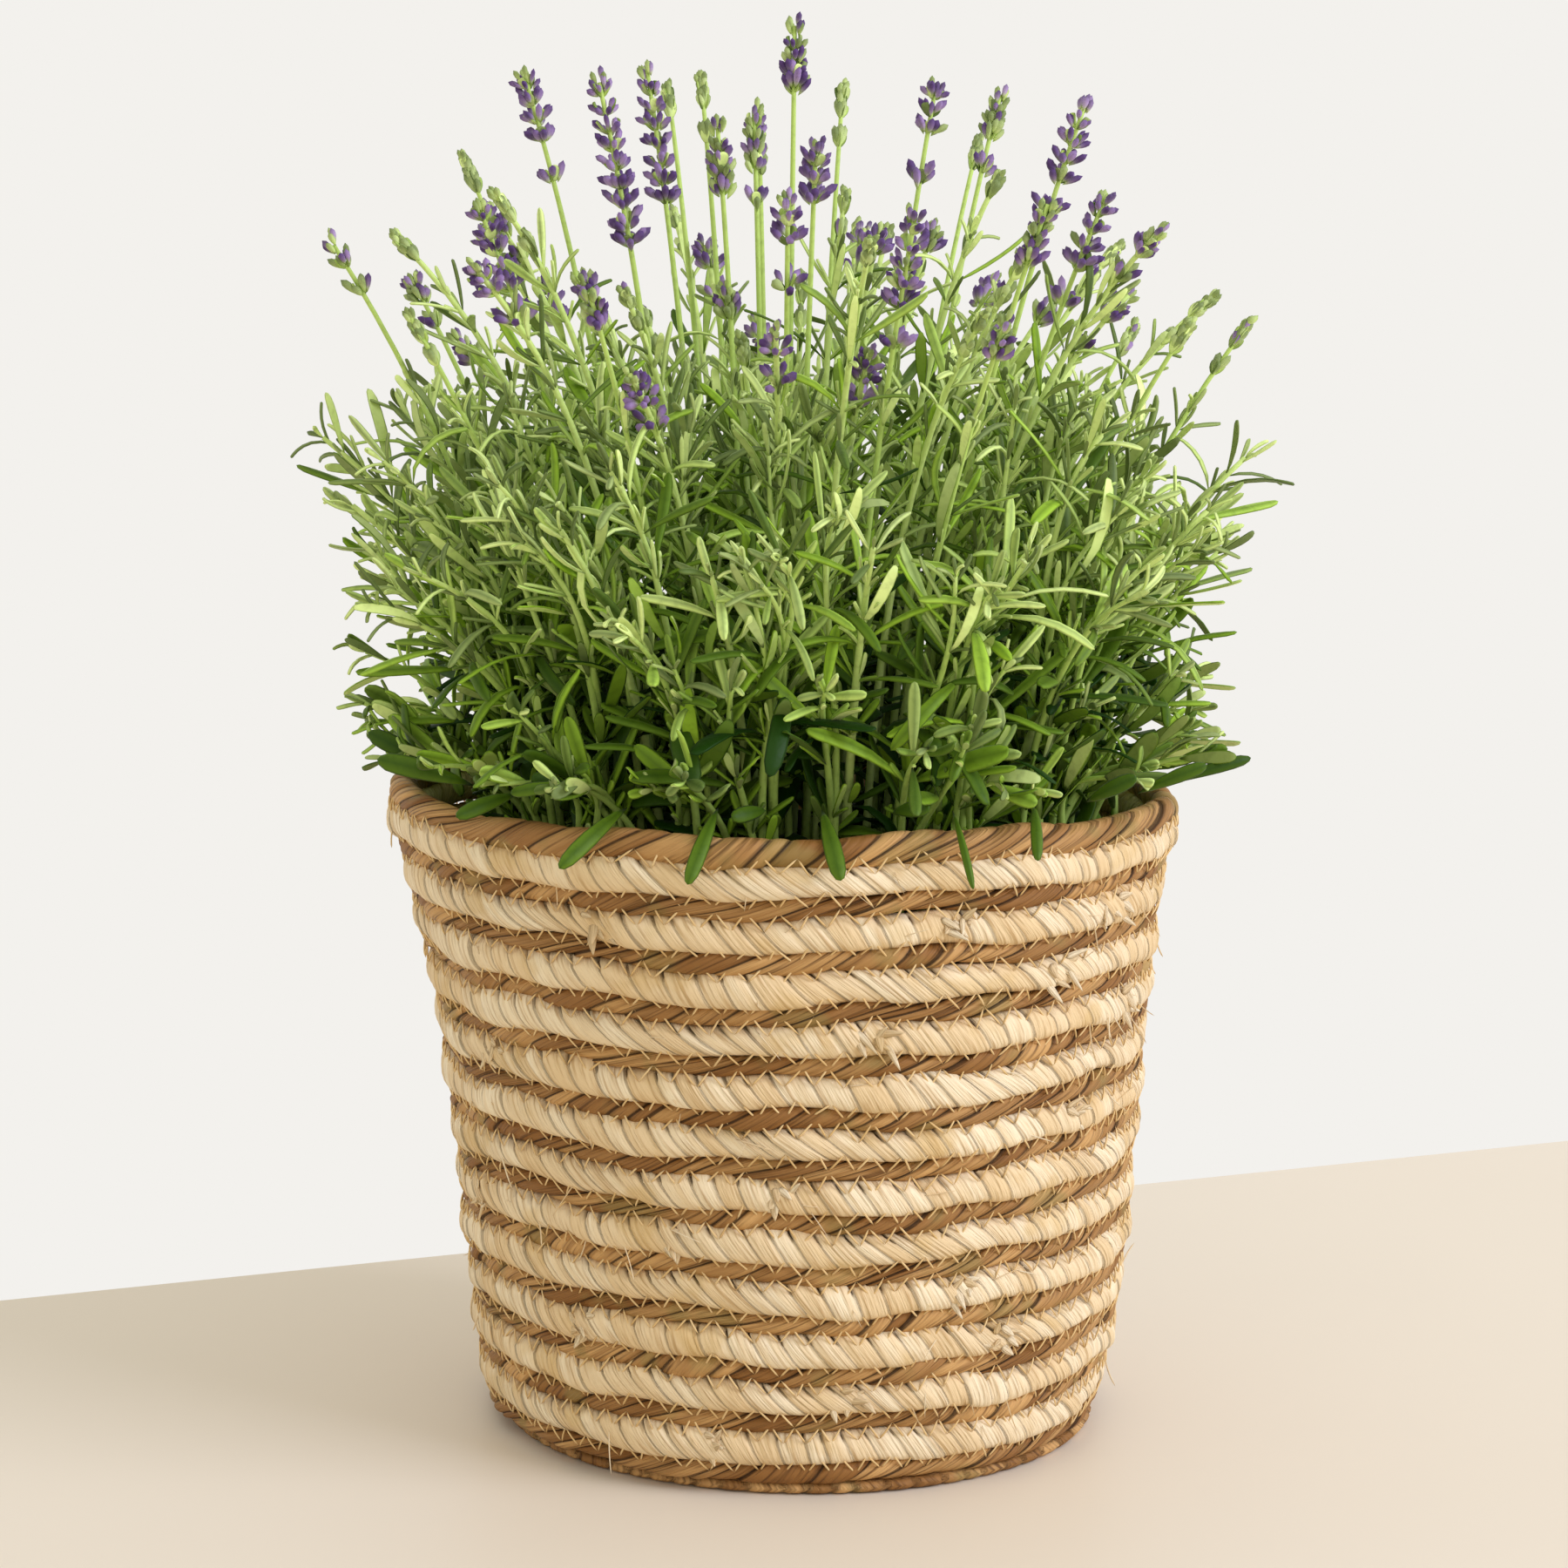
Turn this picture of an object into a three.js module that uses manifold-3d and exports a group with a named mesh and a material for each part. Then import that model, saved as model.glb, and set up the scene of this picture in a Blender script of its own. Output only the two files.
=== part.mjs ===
// Potted lavender in a coiled husk-and-seagrass basket.
// Millimetres, +Z up, +X to the right and -Y to the front. The origin is the middle of the
// basket's flat base, on the surface it stands on.

import * as THREE from "three";
import * as BufferGeometryUtils from "three/addons/utils/BufferGeometryUtils.js";
import Module from "manifold-3d";

const wasm = await Module();
wasm.setup();

// Basket: overall shape.
const RIM_RADIUS = 110; // outside, at the top row
const FOOT_RADIUS = 87.7; // outside, at the bottom row
const WAIST_DRAW = 2.8; // how far the wall is drawn in half-way up
const BASKET_LEAN = -0.0426; // sideways shift of the hand-made wall for each mm of height
const WALL_ROWS = 12; // cream rows; there is one brown row more, on the rim

// Basket: its two cords, wound together.
const CREAM_HEIGHT = 8.4;
const CREAM_THICKNESS = 8.6;
const BROWN_HEIGHT = 5.0;
const BROWN_THICKNESS = 7.0;
const BROWN_INSET = 0.8; // the brown cord's face lies this far behind the cream cord's
const CORD_EDGE = 2.0; // rounding of the cream cord's corners
const CORD_GAP = 0.3; // between cords, where the thread pulls them together
const CLIMB_SHARE = 0.25; // share of each turn, at the back, in which the cords climb a row
const TIP_SHARE = 0.12; // size of a cord's thinned end beside its full height
const STEPS_PER_TURN = 20;

// Flat base mat, with the wall standing on its edge.
const BASE_THICKNESS = 3.5;
const BASE_SETBACK = 1.5; // the mat's edge lies this far inside the bottom row's face
const BASE_CHAMFER = 1.2;

// Nursery pot and soil.
const POT_BELOW_RIM = 21; // the pot's rim lies this far below the basket's
const POT_CLEARANCE = 3.3; // between the pot and the wall, on the side the wall leans in
const POT_WALL = 1.6;
const POT_DRAIN_RADIUS = 9;
const POT_SEAT_GAP = 0.3;
const SOIL_BELOW_RIM = 14;
const SOIL_CROWN = 3; // the soil stands this much higher in the middle
const SOIL_GAP = 0.3;

// Plant.
const STEM_SEAT_GAP = 0.3; // between the soil and a stem's foot
const STALK_RADIUS = 1.3;
const STALK_NECK_RADIUS = 0.9; // just under the flower spike
const WHORL_RADIUS = 5.2;
const WHORL_WAIST_RADIUS = 2.4;
const WHORL_PITCH = 7;
const STALK_FOOT_SHARE = 0.42; // a stalk's foot lies this share of the way out to its tip
const SHOOT_RADIUS = 1.5;
const SHOOT_TIP_RADIUS = 0.7;
const SHOOT_FOOT_SHARE = 0.74; // how far out on the soil the leafy shoots' ring of feet lies
const STEM_RISE_SHARE = 0.7; // how high a stem rises before it leans to its tip
const LEAF_LENGTH = 22;
const LEAF_WIDTH = 4.2;
const LEAF_THICKNESS = 1.0;
const LEAF_PAIRS = 3;
const LEAF_PAIR_PITCH = 20;
const LEAF_SPREAD = 0.62; // radians between a leaf and its stem

// The plant fills its basket: the tips below are listed for a basket of this rim radius.
const LISTED_RIM_RADIUS = 110;

// Flower stalks: tip position, its height above the rim, and spike length.
const FLOWER_STALKS = [
  [-82, 20, 192, 28], [-59, -30, 189, 42], [-48, 10, 194, 35], [-44, 62, 191, 21],
  [-34, 40, 193, 28], [-28, -20, 178, 28], [-19, 26, 184, 28], [-18, 76, 183, 21],
  [-8, 0, 206, 28], [6, 62, 192, 21], [-2, -42, 173, 21], [-9, -74, 159, 21],
  [31, 20, 191, 21], [23, -82, 156, 28], [50, 42, 190, 28], [46, 80, 178, 21],
  [70, -10, 186, 28], [57, -66, 159, 28], [74, -36, 161, 28], [-133, -20, 145, 21],
  [-115, 22, 136, 21], [-108, -54, 127, 21], [-103, 56, 171, 21], [-91, -22, 156, 28],
  [-82, 92, 135, 21], [121, 10, 128, 21], [98, -38, 128, 21], [92, 52, 125, 21],
  [47, -106, 129, 21], [12, 110, 153, 21], [-58, -98, 135, 21],
];

// Leafy shoots: tip position, its height above the rim.
const LEAFY_SHOOTS = [
  [-150, 2, 85], [-137, -40, 69], [-120, -74, 49], [-131, 42, 63], [-109, 82, 79],
  [-73, -109, 69], [-30, -125, 59], [15, -130, 67], [58, -118, 63], [93, -87, 59],
  [117, -49, 73], [132, -6, 85], [122, 40, 59], [96, 80, 79], [57, 112, 65],
  [13, 128, 75], [-32, 125, 61], [-74, 106, 73],
];

const ROW_PITCH = CREAM_HEIGHT + BROWN_HEIGHT + 2 * CORD_GAP;
const WALL_FOOT_Z = BASE_THICKNESS + CORD_GAP;
const BASKET_HEIGHT = WALL_FOOT_Z + WALL_ROWS * ROW_PITCH + BROWN_HEIGHT;
const POT_BASE_Z = BASE_THICKNESS + POT_SEAT_GAP;
const POT_RIM_Z = BASKET_HEIGHT - POT_BELOW_RIM;
const POT_AXIS_X = BASKET_LEAN * POT_RIM_Z / 2; // half-way between the wall's axis at foot and rim
const POT_RIM_RADIUS = potSpace(POT_RIM_Z);
const POT_FOOT_RADIUS = potSpace(POT_BASE_Z);
const SOIL_TOP_Z = POT_RIM_Z - SOIL_BELOW_RIM;
const SHOOT_FOOT_RADIUS = SHOOT_FOOT_SHARE * potRadius(SOIL_TOP_Z);
const PLANT_SPREAD = RIM_RADIUS / LISTED_RIM_RADIUS;
const PLANT_AXIS_X = BASKET_LEAN * BASKET_HEIGHT;
const CREAM_COLOUR = 0xd9bf8c;
const BROWN_COLOUR = 0x9c7444;
const POT_COLOUR = 0x2c2b2a;
const SOIL_COLOUR = 0x33261b;
const STALK_COLOUR = 0x7c6fa8;
const SHOOT_COLOUR = 0x76974a;

const UP = new THREE.Vector3(0, 0, 1);

// Outside radius of the wall at a height.
function wallRadius(z) {
  const t = z / BASKET_HEIGHT;
  return FOOT_RADIUS + (RIM_RADIUS - FOOT_RADIUS) * t - WAIST_DRAW * 4 * t * (1 - t);
}

// Radius of the largest pot that fits inside the wall at a height.
function potSpace(z) {
  const offAxis = Math.abs(BASKET_LEAN * z - POT_AXIS_X);
  return wallRadius(z) - CREAM_THICKNESS - offAxis - POT_CLEARANCE;
}

// A path whose frames are given station by station, each with its own size across.
class SweepPath extends THREE.Curve {
  constructor(stations) {
    super();
    this.stations = stations;
  }

  getPoint(t) {
    const last = this.stations.length - 1;
    return this.stations[Math.round(t * last)].point.clone();
  }

  getSpacedPoints() {
    return this.stations.map((station) => station.point.clone());
  }

  computeFrenetFrames() {
    return {
      tangents: this.stations.map((station) => station.tangent.clone()),
      normals: this.stations.map((station) => station.normal.clone()),
      binormals: this.stations.map((station) => station.binormal.clone()),
    };
  }
}

// A closed solid from a section swept through the stations.
function sweep(section, stations) {
  return new THREE.ExtrudeGeometry(section, {
    steps: stations.length - 1,
    extrudePath: new SweepPath(stations),
  });
}

function regularSection(sides, halfWidth, halfHeight) {
  const points = [];
  for (let i = 0; i < sides; i++) {
    const angle = (i + 0.5) * 2 * Math.PI / sides;
    points.push(new THREE.Vector2(halfWidth * Math.cos(angle), halfHeight * Math.sin(angle)));
  }
  return new THREE.Shape(points);
}

// Share of a row that the cords have climbed at a fraction of a turn.
function climb(fraction) {
  return THREE.MathUtils.clamp((fraction - 1 + CLIMB_SHARE) / CLIMB_SHARE, 0, 1);
}

// Middle height and relative height of a cord at an unwrapped turn. Its head thickens while the
// first row climbs over it, and its tail thins while the row below climbs under it, so that the
// foot and the rim are level.
function cordState(turn, cord) {
  const row = Math.floor(turn);
  const climbed = climb(turn - row);
  if (row < 0) {
    return { z: WALL_FOOT_Z + climbed * (cord.offset + cord.height / 2), size: climbed };
  }
  const bottom = WALL_FOOT_Z + row * ROW_PITCH + cord.offset;
  if (row === cord.lastRow) {
    const size = 1 - climbed;
    return { z: bottom + climbed * cord.tailRise + size * cord.height / 2, size };
  }
  return { z: bottom + climbed * ROW_PITCH + cord.height / 2, size: 1 };
}

// A cord of the wall. Turn 0 starts where the climb at the back ends.
function wallCord(section, cord) {
  const first = -CLIMB_SHARE * (1 - TIP_SHARE);
  const last = cord.lastRow + 1 - CLIMB_SHARE * TIP_SHARE;
  const turns = [first];
  for (let i = Math.ceil(first * STEPS_PER_TURN); i < last * STEPS_PER_TURN; i++) {
    turns.push(i / STEPS_PER_TURN);
  }
  turns.push(last);
  const stations = turns.map((turn) => {
    const { z, size } = cordState(turn, cord);
    // The climb is centred on the back, +Y, and the cords run clockwise seen from above.
    const angle = Math.PI / 2 - 2 * Math.PI * (turn + CLIMB_SHARE / 2);
    const outward = new THREE.Vector3(Math.cos(angle), Math.sin(angle), 0);
    const point = outward.clone().multiplyScalar(wallRadius(z) - cord.inset - cord.thickness / 2);
    point.x += BASKET_LEAN * z;
    point.z = z;
    return {
      point,
      tangent: new THREE.Vector3(Math.sin(angle), -Math.cos(angle), 0),
      normal: outward,
      binormal: UP.clone().multiplyScalar(size),
    };
  });
  return sweep(section, stations);
}

function creamCord() {
  const x = CREAM_THICKNESS / 2;
  const y = CREAM_HEIGHT / 2;
  const section = new THREE.Shape([
    new THREE.Vector2(-x, -y),
    new THREE.Vector2(x - CORD_EDGE, -y),
    new THREE.Vector2(x, 0),
    new THREE.Vector2(x - CORD_EDGE, y),
    new THREE.Vector2(-x, y),
  ]);
  return wallCord(section, {
    offset: BROWN_HEIGHT + CORD_GAP,
    height: CREAM_HEIGHT,
    thickness: CREAM_THICKNESS,
    inset: 0,
    lastRow: WALL_ROWS - 1,
    tailRise: ROW_PITCH,
  });
}

function brownCord() {
  const x = BROWN_THICKNESS / 2;
  const y = BROWN_HEIGHT / 2;
  const section = new THREE.Shape([
    new THREE.Vector2(-x, -y),
    new THREE.Vector2(x, -y),
    new THREE.Vector2(x, y),
    new THREE.Vector2(-x, y),
  ]);
  return wallCord(section, {
    offset: 0,
    height: BROWN_HEIGHT,
    thickness: BROWN_THICKNESS,
    inset: BROWN_INSET,
    lastRow: WALL_ROWS,
    tailRise: ROW_PITCH - CREAM_HEIGHT,
  });
}

function turned(profile, segments) {
  const geometry = new THREE.LatheGeometry(
    profile.map(([r, z]) => new THREE.Vector2(r, z)),
    segments,
  );
  return geometry.rotateX(Math.PI / 2);
}

function baseMat() {
  const radius = FOOT_RADIUS - BASE_SETBACK;
  return turned([
    [0, 0],
    [radius - BASE_CHAMFER, 0],
    [radius, BASE_CHAMFER],
    [radius, BASE_THICKNESS],
    [0, BASE_THICKNESS],
  ], 2 * STEPS_PER_TURN);
}

function potRadius(z) {
  const t = (z - POT_BASE_Z) / (POT_RIM_Z - POT_BASE_Z);
  return POT_FOOT_RADIUS + (POT_RIM_RADIUS - POT_FOOT_RADIUS) * t;
}

function nurseryPot() {
  const floor = POT_BASE_Z + POT_WALL;
  return turned([
    [POT_DRAIN_RADIUS, POT_BASE_Z],
    [POT_FOOT_RADIUS, POT_BASE_Z],
    [POT_RIM_RADIUS, POT_RIM_Z],
    [POT_RIM_RADIUS - POT_WALL, POT_RIM_Z],
    [potRadius(floor) - POT_WALL, floor],
    [POT_DRAIN_RADIUS, floor],
    [POT_DRAIN_RADIUS, POT_BASE_Z],
  ], STEPS_PER_TURN);
}

function pottingSoil() {
  const bottom = POT_BASE_Z + POT_WALL + SOIL_GAP;
  const inset = POT_WALL + 2 * SOIL_GAP;
  return turned([
    [0, bottom],
    [potRadius(bottom) - inset, bottom],
    [potRadius(SOIL_TOP_Z) - inset, SOIL_TOP_Z],
    [0, SOIL_TOP_Z + SOIL_CROWN],
  ], STEPS_PER_TURN);
}

// The soil's surface height, with the crown falling evenly to the pot's wall.
function soilHeight(x, y) {
  const reach = potRadius(SOIL_TOP_Z);
  const distance = Math.hypot(x - POT_AXIS_X, y);
  return SOIL_TOP_Z + SOIL_CROWN * Math.max(0, 1 - distance / reach);
}

// A listed tip's position in the basket as it's sized.
function tipPosition(x, y, rise) {
  return new THREE.Vector3(x * PLANT_SPREAD, y * PLANT_SPREAD, BASKET_HEIGHT + rise);
}

// A stem's centre line: straight up from its foot, then leaning to its tip.
function stemLine(footX, footY, tip) {
  const foot = new THREE.Vector3(footX, footY, soilHeight(footX, footY) + STEM_SEAT_GAP);
  const knee = foot.clone();
  knee.z += (tip.z - foot.z) * STEM_RISE_SHARE;
  return new THREE.QuadraticBezierCurve3(foot, knee, tip);
}

// Stations along a line at the given shares of it, each with its radius. The foot's ring is
// level, so that it sits flat over the soil.
function stemStations(line, sizes) {
  return sizes.map(([share, radius]) => {
    const tangent = share === 0 ? UP.clone() : line.getTangentAt(share);
    const side = new THREE.Vector3().crossVectors(tangent, new THREE.Vector3(0, 1, 0)).normalize();
    return {
      point: line.getPointAt(share),
      tangent,
      normal: side.clone().multiplyScalar(radius),
      binormal: new THREE.Vector3().crossVectors(tangent, side).multiplyScalar(radius),
    };
  });
}

function flowerStalk([x, y, rise, spike]) {
  const tip = tipPosition(x, y, rise);
  const footX = PLANT_AXIS_X + (tip.x - PLANT_AXIS_X) * STALK_FOOT_SHARE;
  const line = stemLine(footX, tip.y * STALK_FOOT_SHARE, tip);
  const neck = 1 - spike / line.getLength();
  const whorls = Math.round(spike / WHORL_PITCH);
  const step = (1 - neck) / whorls;
  const sizes = [[0, STALK_RADIUS], [neck * 0.35, STALK_RADIUS], [neck * 0.7, STALK_RADIUS]];
  for (let i = 0; i < whorls; i++) {
    const taper = 1 - 0.35 * i / whorls;
    const waist = i === 0 ? STALK_NECK_RADIUS : WHORL_WAIST_RADIUS * taper;
    sizes.push([neck + step * i, waist]);
    sizes.push([neck + step * (i + 0.45), WHORL_RADIUS * taper]);
  }
  sizes.push([1, STALK_NECK_RADIUS / 2]);
  return sweep(regularSection(5, 1, 1), stemStations(line, sizes));
}

function solid(geometry) {
  const bare = geometry.clone();
  bare.deleteAttribute("normal");
  bare.deleteAttribute("uv");
  const merged = BufferGeometryUtils.mergeVertices(bare, 1e-5);
  return new wasm.Manifold(new wasm.Mesh({
    numProp: 3,
    vertProperties: new Float32Array(merged.attributes.position.array),
    triVerts: new Uint32Array(merged.index.array),
  }));
}

function geometryOf(manifold) {
  const mesh = manifold.getMesh();
  const geometry = new THREE.BufferGeometry();
  geometry.setAttribute("position", new THREE.BufferAttribute(mesh.vertProperties, 3));
  geometry.setIndex(new THREE.BufferAttribute(mesh.triVerts, 1));
  geometry.computeVertexNormals();
  return geometry;
}

// One narrow leaf: its root inside the stem, widest past the middle, and a blunt tip.
// across is the direction of its width.
function leaf(root, along, across) {
  const face = new THREE.Vector3().crossVectors(along, across);
  const sizes = [[0, 0.35], [0.62, 1], [1, 0.3]];
  const stations = sizes.map(([share, size]) => ({
    point: root.clone().addScaledVector(along, share * LEAF_LENGTH),
    tangent: along.clone(),
    normal: across.clone().multiplyScalar(size),
    binormal: face.clone().multiplyScalar(size),
  }));
  return sweep(regularSection(4, LEAF_WIDTH / Math.SQRT2, LEAF_THICKNESS / Math.SQRT2), stations);
}

function leafyShoot([x, y, rise]) {
  const tip = tipPosition(x, y, rise);
  const out = new THREE.Vector2(tip.x - PLANT_AXIS_X, tip.y).normalize();
  const footX = POT_AXIS_X + out.x * SHOOT_FOOT_RADIUS;
  const line = stemLine(footX, out.y * SHOOT_FOOT_RADIUS, tip);
  const length = line.getLength();
  const joints = [];
  for (let pair = LEAF_PAIRS - 1; pair >= 0; pair--) {
    joints.push(1 - LEAF_PAIR_PITCH * (pair + 0.3) / length);
  }
  const sizes = [[0, SHOOT_RADIUS], [joints[0] / 2, SHOOT_RADIUS]];
  joints.forEach((share) => sizes.push([share, SHOOT_RADIUS]));
  sizes.push([1, SHOOT_TIP_RADIUS]);
  let shoot = solid(sweep(regularSection(5, 1, 1), stemStations(line, sizes)));
  joints.forEach((share, pair) => {
    const tangent = line.getTangentAt(share);
    const level = new THREE.Vector3().crossVectors(tangent, UP).normalize();
    const lifted = new THREE.Vector3().crossVectors(level, tangent);
    const side = pair % 2 === 0 ? level : lifted;
    const across = pair % 2 === 0 ? lifted : level;
    for (const sign of [-1, 1]) {
      const along = tangent.clone().multiplyScalar(Math.cos(LEAF_SPREAD))
        .addScaledVector(side, sign * Math.sin(LEAF_SPREAD));
      shoot = shoot.add(solid(leaf(line.getPointAt(share), along, across)));
    }
  });
  return geometryOf(shoot);
}

const group = new THREE.Group();

function addPiece(name, geometry, color, roughness) {
  const material = new THREE.MeshStandardMaterial({ color, roughness, metalness: 0 });
  const mesh = new THREE.Mesh(geometry, material);
  mesh.name = name;
  group.add(mesh);
  return mesh;
}

const twoDigits = (index) => String(index + 1).padStart(2, "0");

addPiece("basket_base", baseMat(), BROWN_COLOUR, 0.85);
addPiece("brown_seagrass_cord", brownCord(), BROWN_COLOUR, 0.8);
addPiece("cream_husk_cord", creamCord(), CREAM_COLOUR, 0.8);
addPiece("nursery_pot", nurseryPot(), POT_COLOUR, 0.6).position.x = POT_AXIS_X;
addPiece("potting_soil", pottingSoil(), SOIL_COLOUR, 0.95).position.x = POT_AXIS_X;
FLOWER_STALKS.forEach((stalk, i) => {
  addPiece(`flower_stalk_${twoDigits(i)}`, flowerStalk(stalk), STALK_COLOUR, 0.7);
});
LEAFY_SHOOTS.forEach((shoot, i) => {
  addPiece(`leafy_shoot_${twoDigits(i)}`, leafyShoot(shoot), SHOOT_COLOUR, 0.7);
});

export default group;
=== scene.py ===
"""Lavender in a coiled basket: its looks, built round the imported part.

Lengths are in millimetres until a mesh is written, in metres. +Z is up, +X to the right and -Y
to the front, and the origin is the middle of the basket's flat base, on the surface it stands on.
"""

import sys
import logging
import math
from dataclasses import dataclass, fields
from enum import Enum

import bmesh
import bpy
import numpy as np
from mathutils import Matrix, Vector


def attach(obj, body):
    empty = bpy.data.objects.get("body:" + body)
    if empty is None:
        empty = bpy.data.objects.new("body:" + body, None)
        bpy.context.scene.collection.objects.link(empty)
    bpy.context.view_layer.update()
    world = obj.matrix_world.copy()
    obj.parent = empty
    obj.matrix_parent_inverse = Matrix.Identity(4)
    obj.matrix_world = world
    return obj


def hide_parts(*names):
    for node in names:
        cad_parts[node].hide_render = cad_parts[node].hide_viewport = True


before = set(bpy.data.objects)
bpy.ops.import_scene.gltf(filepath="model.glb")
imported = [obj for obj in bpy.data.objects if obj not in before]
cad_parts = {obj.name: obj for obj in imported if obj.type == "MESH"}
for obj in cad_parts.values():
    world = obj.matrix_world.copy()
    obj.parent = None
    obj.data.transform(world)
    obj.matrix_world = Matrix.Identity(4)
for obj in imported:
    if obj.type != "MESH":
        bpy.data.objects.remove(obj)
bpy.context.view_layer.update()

MM = 0.001
TAU = 2 * math.pi
# The share of a turn from each stem to the next that keeps them from lining up.
GOLDEN_TURN = 0.618034

Colour = tuple[float, float, float, float]

log = logging.getLogger("lavender")


class Slot(Enum):
    """The record's material slots."""

    HUSK = "cream_husk"
    SEAGRASS = "brown_seagrass"
    PLASTIC = "nursery_plastic"
    SOIL = "potting_soil"
    STALK = "flower_stalk"
    SHOOT = "leafy_shoot"


# ---------------------------------------------------------------- shading


class Wire:
    """One shader value. Multiplying it adds a Math node."""

    def __init__(self, net: "Net", socket: bpy.types.NodeSocket) -> None:
        """Holds a socket.

        Args:
            net: The Net that the socket is in.
            socket: The output socket.
        """
        self.net = net
        self.socket = socket

    def __mul__(self, other: "Wire | float") -> "Wire":
        """The product with another value."""
        return self.net.math("MULTIPLY", self, other)

    def __rmul__(self, other: "Wire | float") -> "Wire":
        """The product, with the other value first."""
        return self.net.math("MULTIPLY", other, self)

    def between(self, low: float, high: float) -> "Wire":
        """A smooth step from 0 at low to 1 at high."""
        inputs = {"Value": self, "From Min": low, "From Max": high}
        return self.net.node("ShaderNodeMapRange", inputs, interpolation_type="SMOOTHSTEP")


class Net:
    """A material's node tree."""

    def __init__(self, name: str) -> None:
        """Starts an empty material.

        Args:
            name: The material's name.
        """
        self.material = bpy.data.materials.new(name)
        self.material.use_nodes = True
        self.tree = self.material.node_tree
        self.tree.nodes.clear()

    def node(self, kind: str, inputs: dict, output: int | str = 0, **settings: object) -> Wire:
        """Adds any node.

        Args:
            kind: The node's type.
            inputs: Socket names or numbers, with a Wire or a plain value each.
            output: The output socket's name or number.
            **settings: The node's own settings.
        Returns:
            The chosen output.
        """
        made = self.tree.nodes.new(kind)
        for key, value in settings.items():
            setattr(made, key, value)
        for key, value in inputs.items():
            if isinstance(value, Wire):
                self.tree.links.new(value.socket, made.inputs[key])
            else:
                made.inputs[key].default_value = value
        return Wire(self, made.outputs[output])

    def math(self, operation: str, first: Wire | float, second: Wire | float) -> Wire:
        """One Math node's result."""
        return self.node("ShaderNodeMath", {0: first, 1: second}, operation=operation)

    def mix(self, share: Wire | float, first: Wire | Colour, second: Wire | Colour) -> Wire:
        """Two colours mixed, with the share of the second."""
        inputs = {0: share, 6: first, 7: second}
        return self.node("ShaderNodeMix", inputs, output=2, data_type="RGBA")

    def tag(self, name: str, vector: bool = False) -> Wire:
        """A value that each vertex of a mesh carries."""
        output = "Vector" if vector else "Fac"
        return self.node("ShaderNodeAttribute", {}, output=output, attribute_name=name)

    def place(self) -> Wire:
        """Object coordinates, in metres."""
        return self.node("ShaderNodeTexCoord", {}, output="Object")

    def stretched(self, coordinates: Wire, scale: tuple[float, float, float]) -> Wire:
        """Coordinates scaled along each axis."""
        return self.node("ShaderNodeMapping", {"Vector": coordinates, "Scale": scale})

    def noise(self, coordinates: Wire, scale: float, detail: float = 2.0) -> Wire:
        """Soft noise from 0 to 1, in this many finer layers."""
        inputs = {"Vector": coordinates, "Scale": scale, "Detail": detail}
        return self.node("ShaderNodeTexNoise", inputs)

    def finish(
        self, colour: Wire, roughness: float, height: Wire, relief: float, **uniform: float
    ) -> bpy.types.Material:
        """Closes the material with one Principled shader.

        Args:
            colour: The base colour.
            roughness: Its roughness.
            height: The surface's relief.
            relief: The relief's depth in metres.
            **uniform: Uniform values for other sockets, with _ for a space.
        Returns:
            The material.
        """
        bump = self.node("ShaderNodeBump", {"Height": height, "Distance": relief})
        inputs = {"Base Color": colour, "Roughness": roughness, "Normal": bump}
        for key, value in uniform.items():
            inputs[key.replace("_", " ")] = value
        shader = self.node("ShaderNodeBsdfPrincipled", inputs)
        out = self.tree.nodes.new("ShaderNodeOutputMaterial")
        self.tree.links.new(shader.socket, out.inputs["Surface"])
        return self.material


def tint(red: int, green: int, blue: int) -> Colour:
    """A colour as it's seen on a screen, made linear.

    Args:
        red: From 0 to 255.
        green: From 0 to 255.
        blue: From 0 to 255.
    Returns:
        The linear colour.
    """

    def linear(value: float) -> float:
        """One channel made linear."""
        share = value / 255
        return share / 12.92 if share <= 0.04045 else ((share + 0.055) / 1.055) ** 2.4

    return (linear(red), linear(green), linear(blue), 1.0)


@dataclass(frozen=True)
class FibreFinish:
    """Dry plant fibre, streaked along its lay."""

    name: str
    pale: Colour
    mean: Colour
    dark: Colour
    stain: Colour
    shadow: Colour
    stain_share: float = 0.0
    streaks: float = 1.1
    streak_share: float = 0.5
    relief: float = 0.001

    def material(self) -> bpy.types.Material:
        """Builds the finish.

        Returns:
            The material, which reads the tags lay, tone and pit.
        """
        net = Net(self.name)
        lay = net.tag("lay", vector=True)
        tone = net.tag("tone")
        pit = net.tag("pit")
        # Streaks run far along the fibre and are narrow across it.
        fine = net.noise(net.stretched(lay, (self.streaks, 0.08, 1.0)), 1.0, 3.0)
        broad = net.noise(net.stretched(lay, (self.streaks * 0.3, 0.04, 1.0)), 1.0)
        colour = net.mix(tone.between(0.0, 1.0), self.pale, self.mean)
        colour = net.mix(0.6 * broad.between(0.40, 0.70), colour, self.mean)
        colour = net.mix(fine.between(0.48, 0.72) * self.streak_share, colour, self.dark)
        patch = net.noise(net.place(), 55.0)
        colour = net.mix(patch.between(0.56, 0.68) * self.stain_share, colour, self.stain)
        # Painted shade in the grooves, notches and crevices of the fibre.
        colour = net.mix(pit.between(0.15, 0.9), colour, self.shadow)
        return net.finish(colour, 0.62, fine, self.relief, Specular_IOR_Level=0.3)


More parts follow.
